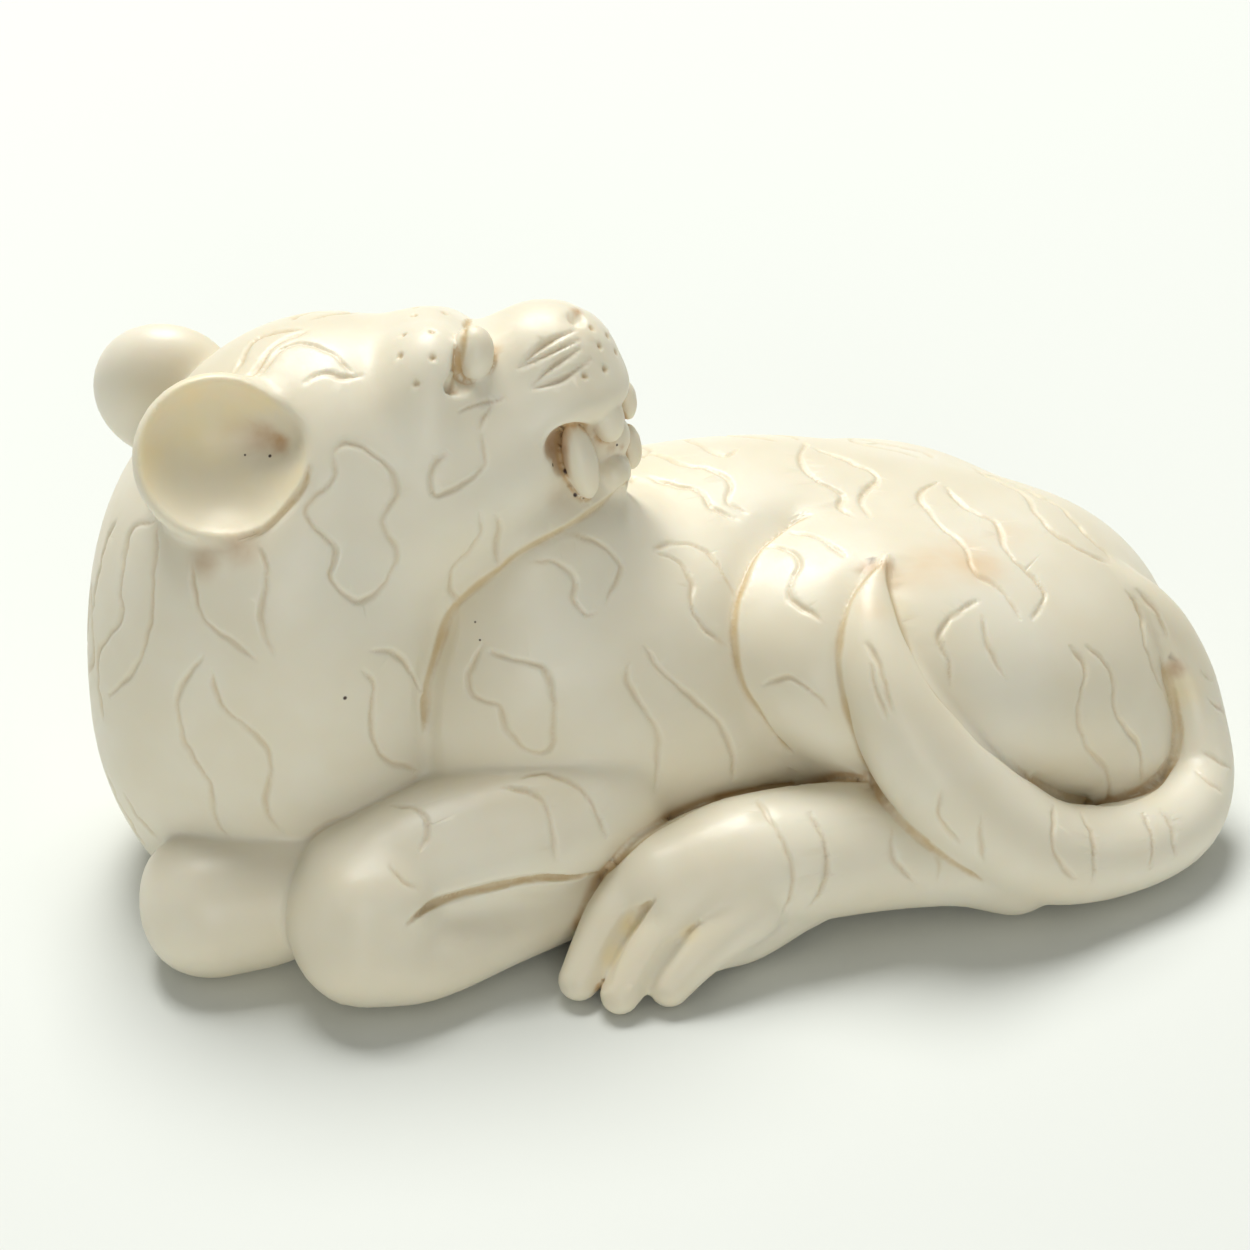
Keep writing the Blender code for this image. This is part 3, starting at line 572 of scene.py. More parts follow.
# Engraved lines of the coat, in the view's pixels
coatLines = dict(
    neck=[
        [(118, 520), (105, 544), (90, 618)],
        [(157, 520), (131, 531), (121, 582), (120, 620), (98, 656), (103, 720)],
        [(157, 520), (154, 569), (149, 628), (134, 669), (108, 697)],
        [(105, 768), (122, 808), (146, 847)], [(123, 791), (136, 815), (158, 838)],
        [(192, 559), (195, 595), (205, 620), (233, 643), (258, 661)],
        [(253, 541), (267, 569), (261, 618), (274, 658)],
        [(205, 653), (179, 692), (182, 735), (192, 755), (210, 786), (215, 819), (230, 840)],
        [(210, 669), (223, 707), (259, 738), (271, 766), (266, 809), (284, 835)],
        [(361, 669), (373, 684), (372, 730), (384, 758), (424, 773)],
        [(368, 651), (394, 653), (412, 674), (422, 692)],
    ],
    cheek=[
        [(332, 452), (348, 443), (370, 452), (390, 471), (397, 493), (382, 522), (397, 551), (385, 583),
         (363, 601), (341, 592), (330, 575), (336, 549), (315, 529), (306, 508), (332, 481), (336, 469),
         (332, 452)],
        [(455, 413), (477, 405), (506, 398)], [(494, 401), (486, 415), (479, 432)],
        [(450, 449), (431, 471), (436, 495), (465, 483), (484, 464), (482, 432)],
        [(479, 510), (481, 532), (470, 551), (455, 566), (450, 590), (465, 606)],
        [(494, 512), (499, 527), (495, 554), (501, 568)],
    ],
    brow=[
        [(255, 378), (290, 345), (325, 350), (355, 375)],
        [(300, 385), (325, 373), (345, 378), (365, 375)],
    ],
    shoulder=[
        [(563, 533), (594, 541), (617, 559), (619, 574), (604, 605)],
        [(525, 565), (550, 561), (573, 577), (573, 597), (586, 615), (599, 612)],
        [(484, 643), (469, 673), (474, 696), (499, 707), (507, 730), (528, 751), (550, 747), (553, 699),
         (543, 668), (517, 661), (487, 650)],
        [(651, 551), (675, 543), (706, 551), (724, 574), (739, 599)],
        [(651, 551), (678, 561), (691, 582), (691, 605), (704, 628), (734, 650)],
        [(632, 661), (626, 679), (640, 704), (655, 727), (658, 753), (655, 793)],
        [(642, 645), (663, 673), (693, 699), (719, 724), (732, 753), (732, 783)],
    ],
    back=[
        [(640, 457), (655, 454), (678, 463), (713, 471), (730, 483), (728, 502), (747, 515)],
        [(646, 476), (669, 484), (699, 492), (713, 508), (741, 522)],
        [(806, 442), (799, 458), (812, 477), (841, 495), (839, 506), (856, 519)],
        [(812, 447), (850, 462), (877, 477), (860, 498), (871, 519)],
        [(686, 439), (722, 455), (741, 449)], [(865, 443), (893, 446), (920, 452)],
        [(967, 466), (1022, 488), (1059, 507), (1088, 536), (1114, 562)],
        [(974, 471), (1022, 493), (1036, 514), (1064, 540), (1111, 565)],
        [(939, 481), (919, 496), (939, 524), (963, 545), (974, 571), (1003, 592), (1022, 621)],
        [(944, 486), (965, 507), (996, 524), (1007, 552), (1033, 578), (1045, 595), (1031, 621)],
    ],
    haunch=[
        [(789, 531), (822, 540), (847, 558)],
        [(759, 548), (783, 548), (799, 562), (789, 592), (801, 607), (831, 625)],
        [(761, 686), (789, 678), (812, 692), (831, 713)],
        [(981, 599), (953, 616), (939, 637), (948, 661), (951, 691)],
        [(981, 613), (989, 647), (1007, 682)],
        [(1069, 644), (1085, 670), (1078, 710), (1085, 743), (1107, 774), (1109, 803)],
        [(1085, 644), (1111, 672), (1116, 713), (1140, 750), (1142, 788)],
        [(1124, 589), (1140, 613), (1147, 651), (1163, 687), (1177, 713)],
        [(1135, 588), (1154, 609), (1168, 639)],
    ],
    legs=[
        [(519, 778), (549, 774), (580, 789), (596, 811), (607, 838)],
        [(502, 786), (531, 793), (547, 809), (553, 838), (556, 862)],
        [(390, 805), (417, 809), (428, 828), (419, 854)], [(388, 862), (402, 881), (421, 889)],
        [(756, 797), (777, 832), (793, 871), (784, 916)], [(809, 811), (826, 850), (823, 885), (809, 909)],
        [(893, 822), (893, 857), (917, 885)], [(931, 843), (940, 864), (937, 885)],
    ],
    tail=[
        [(1199, 670), (1214, 682)], [(1206, 696), (1225, 713)], [(1199, 750), (1232, 769)],
        [(1194, 769), (1223, 794)], [(1159, 808), (1172, 829), (1175, 860)],
        [(1142, 811), (1152, 839), (1151, 871)], [(1079, 811), (1093, 839), (1093, 885)],
        [(1054, 804), (1054, 850), (1075, 881)], [(942, 787), (939, 818), (961, 846)],
        [(982, 811), (980, 838), (984, 864)], [(866, 640), (880, 668), (893, 716)],
        [(870, 662), (876, 690), (888, 722)],
    ],
    halfWidth=0.22, depth=0.12, fine=0.13, stain=0.5, taper=0.8, tremble=0.7,
    wander=((3.1, 1), (5.3, 2.1), (8.9, 3.7)),
)

# Seams where one form stands over another. The ground is cut away on the low side:
# 1 is the right hand along the line, -1 the left, 0 neither
seams = dict(
    lines=[
        (-1, 0.34, [(636, 476), (600, 506), (560, 531), (520, 553), (500, 569), (455, 606), (440, 640),
                    (426, 690), (424, 735)]),                                            # under the jaw
        (0, 0, [(404, 926), (418, 914), (441, 900), (482, 888), (533, 878), (584, 875), (600, 872)]),
        (0, 0, [(657, 897), (645, 908), (634, 922)]), (0, 0, [(704, 920), (690, 930), (680, 940)]),  # toes
        (1, 0.3, [(884, 560), (862, 580), (848, 606), (840, 638), (839, 672), (848, 720), (865, 766),
                  (896, 814), (939, 853), (985, 883)]),                                  # tail, outside
        (-1, 0.34, [(888, 562), (892, 594), (908, 640), (928, 680), (960, 720), (998, 757), (1050, 792),
                    (1103, 805), (1148, 793), (1172, 765), (1179, 733), (1174, 695), (1160, 655)]),
        (1, 0.45, [(812, 514), (786, 527), (759, 550), (743, 583), (735, 618), (736, 655), (744, 688),
                   (758, 712), (774, 735), (793, 755)]),                                 # thigh
        (-1, 0.08, [(606, 874), (630, 850), (658, 829), (707, 804), (755, 790), (824, 782), (866, 781)]),
        (1, 0.25, [(236, 541), (262, 530), (285, 508), (303, 486), (310, 462)]),         # ear
        (-1, 0.22, [(471, 316), (464, 330), (461, 350), (455, 375), (449, 394)]),        # brow over the eye
    ],
    halfWidth=0.24, depth=0.16, fine=0.14, stain=1.0, taper=1.0, slope=1.7, wall=0.13, beside=0.6, runOut=8,
)

# Deep cuts of the face, wide at the left where two meet
whiskerCuts = dict(
    lines=[
        [(516, 369), (547, 343), (579, 329)], [(516, 369), (557, 350), (581, 339)],
        [(528, 389), (552, 367), (584, 346)], [(528, 390), (562, 379), (593, 358)],
    ],
    halfWidth=0.24, depth=0.2, fine=0.13, stain=0.55, taper=1.6,
)

# Small round dots of the brow and the muzzle
pricks = dict(
    spots=[(414, 315), (445, 313), (403, 335), (432, 331), (400, 356), (433, 358), (416, 384),
           (592, 328), (608, 336), (600, 346), (616, 352), (605, 369), (585, 376)],
    radius=0.25, depth=0.15,
)

# Sides that the view doesn't show. Each is cut from a place far out, along a direction, and its
# stripes are flames: across, up, lean in degrees, length, width
hiddenCoat = dict(
    sides=[
        dict(start=(0, 40, 0), ahead=(0, -1, -0.12), right=(-1, 0, 0), up=(0, 0, 1), flames=[
            (-17.5, 10.5, 12, 6.5, 2.2), (-12.0, 11.5, -8, 7.0, 2.4), (-6.5, 10.0, 14, 6.0, 2.0),
            (-0.8, 11.0, -10, 6.5, 2.3), (4.6, 8.5, 12, 6.0, 2.0), (12.5, 15.0, 10, 7.0, 2.4),
            (17.0, 9.0, -12, 7.5, 2.4), (-14.5, 4.6, 80, 4.0, 1.4), (18.5, 18.0, -20, 4.5, 1.6)]),
        dict(start=(-60, 0, 0), ahead=(1, 0, -0.1), right=(0, -1, 0), up=(0, 0, 1), flames=[
            (-2.0, 7.0, 8, 7.0, 2.2), (-5.2, 12.5, -10, 6.5, 2.0), (-1.5, 17.0, 6, 5.5, 1.8)]),
        dict(start=(60, 0, 0), ahead=(-1, 0, -0.1), right=(0, 1, 0), up=(0, 0, 1), flames=[
            (-1.5, 9.0, -10, 6.5, 2.2), (3.5, 7.5, 12, 6.0, 2.0)]),
        dict(start=(0, 0, 60), ahead=(0, 0, -1), right=(1, 0, 0), up=(0, 1, 0), flames=[
            (2.0, 6.0, 20, 4.5, 1.8), (8.5, 5.5, -14, 5.0, 2.0), (15.0, 4.0, -30, 5.0, 1.9),
            (-13.5, 4.2, 40, 4.0, 1.6), (-17.0, 1.5, 70, 4.0, 1.5)]),
    ],
    wave=0.11, spacing=0.2, halfWidth=0.25, depth=0.12, fine=0.2, stain=0.62, taper=0.8, faceTaper=1.2,
    swell=0.85, fullness=0.8,
)

# What is kept of each engraved line, point by point, and how unevenly the tool bites along it
lineParts = dict(spots=[], widths=[], depths=[], ends=[], fine=[], tints=[])
handTool = dict(swell=0.2, beat=1.9, change=2.3, thinEnd=0.45, fullness=0.6)


# Keeps one engraved line: its points, narrowing at both ends, with the uneven bite of a hand tool
def keepLine(points, form, taper):
    step = np.linalg.norm(np.diff(points, axis=0), axis=1)
    run = np.concatenate([[0], np.cumsum(step)])
    ends = np.minimum(run, run[-1] - run)
    share = np.clip(ends / taper, 0, 1) ** handTool["fullness"]
    beat = run * handTool["beat"] + len(lineParts["spots"]) * handTool["change"]
    bite = 1 + handTool["swell"] * np.sin(beat)
    thinEnd = handTool["thinEnd"]
    lineParts["spots"].append(points)
    lineParts["widths"].append(form["halfWidth"] * (thinEnd + (1 - thinEnd) * share) * bite)
    lineParts["depths"].append(form["depth"] * share * bite)
    lineParts["ends"].append(np.arange(len(points)) == len(points) - 1)
    lineParts["fine"].append(np.full(len(points), form["fine"]))
    lineParts["tints"].append(form["stain"] * share)


# Lays lines on the carving in one go and gives their points
def layAll(routes, place):
    places = place(np.vstack(routes))
    ends = np.cumsum([len(route) for route in routes])
    return np.split(places, ends[:-1])


# The other side of the face, which sits a little lower
def acrossFace(points):
    local = (points - np.array(headForm["at"])) @ headTurn
    local[:, 2] -= headForm["farDrop"] * np.abs(local[:, 1])
    local[:, 1] *= -1
    return drawOn(onHead(local), 4, 1.0)


# Two wavy edges that part from one point, in the plane of a side
def flameEdges(side, across, up, lean, length, width):
    t = np.linspace(0, 1, int(length / hiddenCoat["spacing"]))
    wave = hiddenCoat["wave"] * length * np.sin(2 * math.pi * t + across)
    swell = width / 2 * np.sin(hiddenCoat["swell"] * math.pi * t) ** hiddenCoat["fullness"]
    turn = math.radians(lean)
    edges = []
    for sign in (-1, 1):
        x = wave + sign * swell
        y = length * (0.5 - t)
        right = across + x * math.cos(turn) + y * math.sin(turn)
        rise = up - x * math.sin(turn) + y * math.cos(turn)
        edges.append(np.array(side["start"]) + right[:, None] * np.array(side["right"])
                     + rise[:, None] * np.array(side["up"]))
    return edges


# A hand-drawn route: it wanders a little to either side
def trembled(route, number):
    step = np.diff(route, axis=0, append=route[-1:] * 2 - route[-2:-1])
    length = np.linalg.norm(step, axis=1, keepdims=True)
    run = np.cumsum(length)
    drift = sum(np.sin(run / wave + shift * number) for wave, shift in coatLines["wander"])
    across = np.stack([-step[:, 1], step[:, 0]], 1) / length
    return route + across * (coatLines["tremble"] * drift / 2)[:, None]


coatRoutes = [smoothLine(stops) for lines in coatLines.values() if isinstance(lines, list) for stops in lines]
coatRoutes = [trembled(route, number) for number, route in enumerate(coatRoutes)]
cutRoutes = [smoothLine(stops) for stops in whiskerCuts["lines"]]
seamRoutes = [smoothLine(stops) for low, deep, stops in seams["lines"]]
seamStart = len(coatRoutes) + len(cutRoutes)
seamEnd = seamStart + len(seamRoutes)
laid = layAll(coatRoutes + cutRoutes + seamRoutes, underView)
forms = [coatLines] * len(coatRoutes) + [whiskerCuts] * len(cutRoutes) + [seams] * len(seamRoutes)
for points, form in zip(laid, forms):
    keepLine(points, form, form["taper"])
# The face's marks again on its other side
faceRoutes = cutRoutes + [smoothLine(stops) for stops in coatLines["brow"] + coatLines["cheek"][:4]]
otherSide = layAll(faceRoutes, lambda spots: acrossFace(underView(spots)))
for number, points in enumerate(otherSide):
    keepLine(points, whiskerCuts if number < len(cutRoutes) else hiddenCoat, hiddenCoat["faceTaper"])
for side in hiddenCoat["sides"]:
    edges = [edge for flame in side["flames"] for edge in flameEdges(side, *flame)]
    for points in layAll(edges, lambda starts: fromSide(starts, side["ahead"])):
        keepLine(points, hiddenCoat, hiddenCoat["taper"])
say("%d lines laid on the carving" % len(lineParts["spots"]))

nearPricks = underView(pricks["spots"])
prickSpots = np.vstack([nearPricks, acrossFace(nearPricks)])
lines = {key: np.concatenate(parts) for key, parts in lineParts.items()}
seamSpots = np.vstack(lineParts["spots"][seamStart:seamEnd])
seamStains = np.concatenate(lineParts["tints"][seamStart:seamEnd])

# Points of the seams with the way down to their low side, and how deep the ground is cut there
groundParts = dict(spots=[], ways=[], depths=[])
for (low, deep, stops), points in zip(seams["lines"], laid[seamStart:]):
    if low:
        along = np.gradient(points, axis=0)
        way = low * np.cross(along, gapAndSlope(points)[1])
        ends = np.minimum(np.arange(len(points)), np.arange(len(points))[::-1])
        groundParts["spots"].append(points)
        groundParts["ways"].append(way / np.linalg.norm(way, axis=1, keepdims=True))
        groundParts["depths"].append(deep * np.clip(ends / seams["runOut"], 0, 1))
ground = {key: np.concatenate(parts) for key, parts in groundParts.items()}


def treeOf(spots):
    tree = KDTree(len(spots))
    for number, spot in enumerate(spots):
        tree.insert(spot, number)
    tree.balance()
    return tree


# For each point, the nearest spot of a tree and how far off it is
def nearestOf(tree, points):
    found = [tree.find(point)[1:] for point in points]
    nearest = np.array([index for index, away in found], int)
    return nearest, np.array([away for index, away in found], float)


lineTree = treeOf(lines["spots"])
groundTree = treeOf(ground["spots"])
seamTree = treeOf(seamSpots)
prickTree = treeOf(prickSpots)


# Distance from points to the nearest engraved line, and which of its points that is
def nearestLine(points):
    nearest, distance = nearestOf(lineTree, points)
    close = np.flatnonzero(distance < skinForm["lineNear"])
    for side in (-1, 0):
        start = np.clip(nearest[close] + side, 0, len(lines["spots"]) - 2)
        real = ~lines["ends"][start]
        a = lines["spots"][start]
        along = lines["spots"][start + 1] - a
        t = np.clip(((points[close] - a) * along).sum(1) / ((along ** 2).sum(1) + 1e-12), 0, 1)
        away = np.linalg.norm(points[close] - a - along * t[:, None], axis=1)
        distance[close] = np.where(real, np.minimum(distance[close], away), distance[close])
    return distance, nearest


# Splits the marked edges of triangles in the middle, and the faces that they bound
def splitEdges(points, faces, marked, edges, faceEdges):
    number = np.full(len(edges), -1)
    number[marked] = len(points) + np.arange(marked.sum())
    points = np.vstack([points, (points[edges[marked, 0]] + points[edges[marked, 1]]) / 2])
    middle = number[faceEdges]
    cut = middle >= 0
    kept = [faces[~cut.any(1)]]
    for turn in range(3):
        order = [turn, (turn + 1) % 3, (turn + 2) % 3]
        f = faces[:, order]
        m = middle[:, order]
        c = cut[:, order]
        one = c[:, 0] & ~c[:, 1] & ~c[:, 2]
        kept.append(np.stack([f[one, 0], m[one, 0], f[one, 2]], 1))
        kept.append(np.stack([m[one, 0], f[one, 1], f[one, 2]], 1))
        two = c[:, 0] & c[:, 1] & ~c[:, 2]
        kept.append(np.stack([m[two, 0], f[two, 1], m[two, 1]], 1))
        kept.append(np.stack([f[two, 0], m[two, 0], m[two, 1]], 1))
        kept.append(np.stack([f[two, 0], m[two, 1], f[two, 2]], 1))
    every = cut.all(1)
    f = faces[every]
    m = middle[every]
    kept.append(np.stack([f[:, 0], m[:, 0], m[:, 2]], 1))
    kept.append(np.stack([m[:, 0], f[:, 1], m[:, 1]], 1))
    kept.append(np.stack([m[:, 2], m[:, 1], f[:, 2]], 1))
    kept.append(np.stack([m[:, 0], m[:, 1], m[:, 2]], 1))
    return points, np.vstack(kept)


# Finer triangles along the lines, where the tool bites, and in sharp creases
for level in range(skinForm["levels"]):
    edges, faceEdges = uniqueEdges(skinFaces)
    slope = gapAndSlope(skinPoints)[1]
    bend = (slope[edges[:, 0]] * slope[edges[:, 1]]).sum(1)
    length = np.linalg.norm(skinPoints[edges[:, 0]] - skinPoints[edges[:, 1]], axis=1)
    reach = skinForm["fineReach"] + 0.4 * length
    middles = (skinPoints[edges[:, 0]] + skinPoints[edges[:, 1]]) / 2
    long = np.flatnonzero(length > skinForm["fineEdge"] * 1.2)
    near = np.zeros(len(edges), bool)
    lineAway, spot = nearestLine(middles[long])
    onLine = (lineAway < reach[long]) & (length[long] > lines["fine"][spot] * skinForm["lineEdge"])
    onPrick = nearestOf(prickTree, middles[long])[1] < reach[long]
    near[long] = onLine | onPrick | (bend[long] < skinForm["sharpBend"])
    room = (skinForm["mostTriangles"] - len(skinFaces)) // 2
    if near.sum() == 0 or room < 100:
        break
    if near.sum() > room:
        longest = np.argsort(-np.where(near, length, 0))[:room]
        near[:] = False
        near[longest] = True
    before = len(skinPoints)
    skinPoints, skinFaces = splitEdges(skinPoints, skinFaces, near, edges, faceEdges)
    skinPoints[before:] = drawOn(skinPoints[before:], 1)
    say("level %d: %d triangles" % (level + 1, len(skinFaces)))


def smoothStep(value):
    value = np.clip(value, 0, 1)
    return value * value * (3 - 2 * value)


# Cuts the lines and pricks into the skin
lineGap, spot = nearestLine(skinPoints)
lineWidth = lines["widths"][spot]
prickGap = nearestOf(prickTree, skinPoints)[1]
skinSlope = gapAndSlope(skinPoints)[1]
bite = lines["depths"][spot] * smoothStep(1 - lineGap / lineWidth)
bite = np.maximum(bite, pricks["depth"] * smoothStep(1 - prickGap / pricks["radius"]))


# How deep the ground is cut beside the seams
def groundCut(points):
    nearest, away = nearestOf(groundTree, points)
    across = ((points - ground["spots"][nearest]) * ground["ways"][nearest]).sum(1)
    wall = smoothStep((across + seams["wall"]) / (2 * seams["wall"]))
    fall = (1 - np.clip(across / seams["slope"], 0, 1)) ** 2
    beside = np.clip(1 - (away - np.abs(across)) / seams["beside"], 0, 1)
    return ground["depths"][nearest] * wall * fall * beside


bite = np.maximum(bite, groundCut(skinPoints))
bite *= skinPoints[:, 2] > 0.05
cutPoints = skinPoints - skinSlope * bite[:, None]
say("lines cut")


# How closed in a place is: 0 in the open, 1 deep in a hollow or crease
def closedIn(points, slope, height):
    return np.clip(1 - carvedGap(points + slope * height) / height, 0, 1)


# The stain of a cut reaches a little past it
def cutStain(away, width):
    return np.clip(1 - away / (width * 1.2), 0, 1)


# Painted shade with brown stain: the crease mask darkens the colour to honey where the surface is closed in
crease = closedIn(skinPoints, skinSlope, skinForm["creaseHeight"])
hollow = closedIn(skinPoints, skinSlope, skinForm["hollowHeight"])
seamSpot, seamAway = nearestOf(seamTree, skinPoints)
seamMark = cutStain(seamAway, seams["halfWidth"]) * seamStains[seamSpot]
lineMark = np.maximum(cutStain(lineGap, lineWidth) * lines["tints"][spot], seamMark)
prickMark = cutStain(prickGap, pricks["radius"])

# Stains and painted light, in the view's pixels: place, reach in millimetres, strength
tints = dict(
    # The faint peach on the far ear is painted shade and glow, the rest is stain
    peach=[((972, 560), 2.9, 0.8), ((930, 566), 2.4, 0.7), ((896, 575), 1.8, 0.6), ((1008, 536), 2.0, 0.5),
           ((872, 606), 1.3, 0.6), ((160, 372), 4.0, 0.15)],
    # The yellow in the ear is painted glow and shade, between the toes painted shade, the rest is stain
    yellow=[((205, 412), 3.6, 0.9), ((165, 440), 2.4, 0.5), ((631, 925), 1.0, 0.8), ((610, 955), 1.0, 0.8),
            ((690, 934), 0.9, 0.6), ((1186, 690), 1.6, 0.7), ((1150, 798), 1.8, 0.3), ((896, 610), 1.2, 0.4)],
    # The rust under the ear is a painted shadow, in the eye's corner and the nostril painted shade, the rest
    # is stain
    rustAndShade=[((281, 443), 0.85, 1.0), ((262, 436), 1.4, 0.7), ((240, 432), 1.8, 0.35), ((240, 547), 1.6, 0.5),
          ((205, 560), 1.4, 0.5), ((1176, 668), 0.9, 0.8), ((868, 566), 0.8, 0.7), ((886, 566), 0.8, 0.6),
          ((560, 497), 1.4, 0.35), ((452, 392), 0.6, 0.5), ((577, 311), 0.5, 0.7),
          ((599, 440), 0.6, 0.6), ((611, 447), 0.6, 0.55), ((622, 447), 0.4, 0.5)],
    sootAndShade=[((871, 560), 0.42, 1.0), ((1173, 657), 0.4, 0.9)],
)
# Hollows that keep dirt and painted shade, in the head's directions: place, reach, strength
dirtAndShadeHollows = [((7.2, -2.6, -1.2), 1.5, 0.35), ((7.2, 2.6, -1.4), 1.5, 0.35)]
tanAndShadeHollows = [((7.6, -2.4, -0.7), 2.3, 0.75), ((7.6, 2.4, -1.0), 2.3, 0.75), ((10.2, 0.0, -1.0), 1.8, 0.4),
                 ((4.0, -3.8, 4.3), 2.6, 0.28), ((4.0, 3.8, 2.9), 2.6, 0.28), ((9.2, -1.0, 5.4), 1.0, 0.7),
                 ((9.2, 1.0, 5.1), 1.0, 0.7)]


def falloff(points, middle, reach):
    share = ((points - middle) ** 2).sum(1) / reach ** 2
    return np.clip(1 - share, 0, 1) ** 2


# Marks of the stains and painted light, from spots in the view
def tintMark(spots):
    mark = np.zeros(len(skinPoints))
    middles = underView([spot[0] for spot in spots])
    for middle, (place, reach, strength) in zip(middles, spots):
        mark = np.maximum(mark, strength * falloff(skinPoints, middle, reach))
    return mark


def hollowStainAndShade(spots):
    mark = np.zeros(len(skinPoints))
    for place, reach, strength in spots:
        mark = np.maximum(mark, strength * np.sqrt(falloff(skinPoints, onHead(place), reach)))
    # Painted shade: the mark is kept only where the surface is closed in
    return mark * smoothStep((hollow - 0.35) / 0.5)


marks = {kind: tintMark(spots) for kind, spots in tints.items()}
# Dirt and painted shade in the mouth, tan stain and painted shade in the mouth, eye sockets and nostrils
marks["sootAndShade"] = np.maximum(marks["sootAndShade"], hollowStainAndShade(dirtAndShadeHollows))
marks["rustAndShade"] = np.maximum(marks["rustAndShade"], hollowStainAndShade(tanAndShadeHollows))
# The ears' hollows are thin, and yellow where light comes through
earGlow = dict(edge=0.35, reach=3.0, low=-2.0, climb=3.5, least=0.3, more=0.6)
for bowl, cup, pit in earSets:
    inCup = smoothStep(1 - np.maximum(eggGap(skinPoints, cup), 0) / earGlow["edge"])
    inCup *= smoothStep(2.2 - np.linalg.norm(skinPoints - bowl[0], axis=1) / earGlow["reach"])
    rise = smoothStep(((skinPoints - bowl[0])[:, 2] - earGlow["low"]) / earGlow["climb"])
    marks["yellow"] = np.maximum(marks["yellow"], inCup * (earGlow["least"] + earGlow["more"] * rise))

# The carving stands over the middle of the frame
middle = (skinPoints.min(0) + skinPoints.max(0)) / 2
shift = np.array([middle[0], middle[1], 0])
# Specks of dirt, in the view's pixels, with their radius in millimetres
specks = [((345, 698), 0.11), ((475, 622), 0.07), ((480, 640), 0.06), ((270, 456), 0.09), ((245, 455), 0.06),
          ((254, 533), 0.10), ((466, 330), 0.06), ((566, 471), 0.16), ((575, 495), 0.12), ((553, 465), 0.10),
          ((583, 497), 0.10), ((617, 445), 0.07)]
speckSpots = (underView([place for place, radius in specks]) - shift) / 1000
framePoints = (cutPoints - shift) / 1000
tigerMesh = meshOf("tigerSkin", framePoints, skinFaces)
tigerMesh.shade_smooth()
layers = dict(lineMark=lineMark, prickMark=prickMark, crease=crease, **marks)
for name, values in layers.items():
    layer = tigerMesh.attributes.new(name, 'FLOAT', 'POINT')
    layer.data.foreach_set("value", values.astype(np.float32))
tiger = bpy.data.objects.new("tigerSkin", tigerMesh)
bpy.context.scene.collection.objects.link(tiger)
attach(tiger, "root")
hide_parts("tiger")
say("skin made: %d vertices, %d triangles" % (len(framePoints), len(skinFaces)))

# Old polished ivory: warm cream, stained in its cuts and hollows, with painted shade in its creases and
# hollows, under the ear and between the toes, and painted glow in the ears
ivoryFinish = dict(
    cream=(0.83, 0.76, 0.60, 1), pale=(0.87, 0.82, 0.69, 1), honey=(0.62, 0.42, 0.20, 1),
    lineStain=(0.60, 0.43, 0.20, 1), peach=(0.82, 0.61, 0.38, 1), yellow=(0.93, 0.77, 0.43, 1),
    rustAndShade=(0.50, 0.27, 0.10, 1), sootAndShade=(0.13, 0.065, 0.03, 1), speck=(0.06, 0.03, 0.02, 1),
    soak=0.4, soakRadius=(1.0, 0.75, 0.5), soakScale=0.0006, lightBend=1.54,
    roughness=(0.36, 0.46), grainStrength=0.1, grainHeight=0.00005,
    clouds=120, patches=420, streaks=500, sheen=700, grain=1800,                 # noise, per metre
)


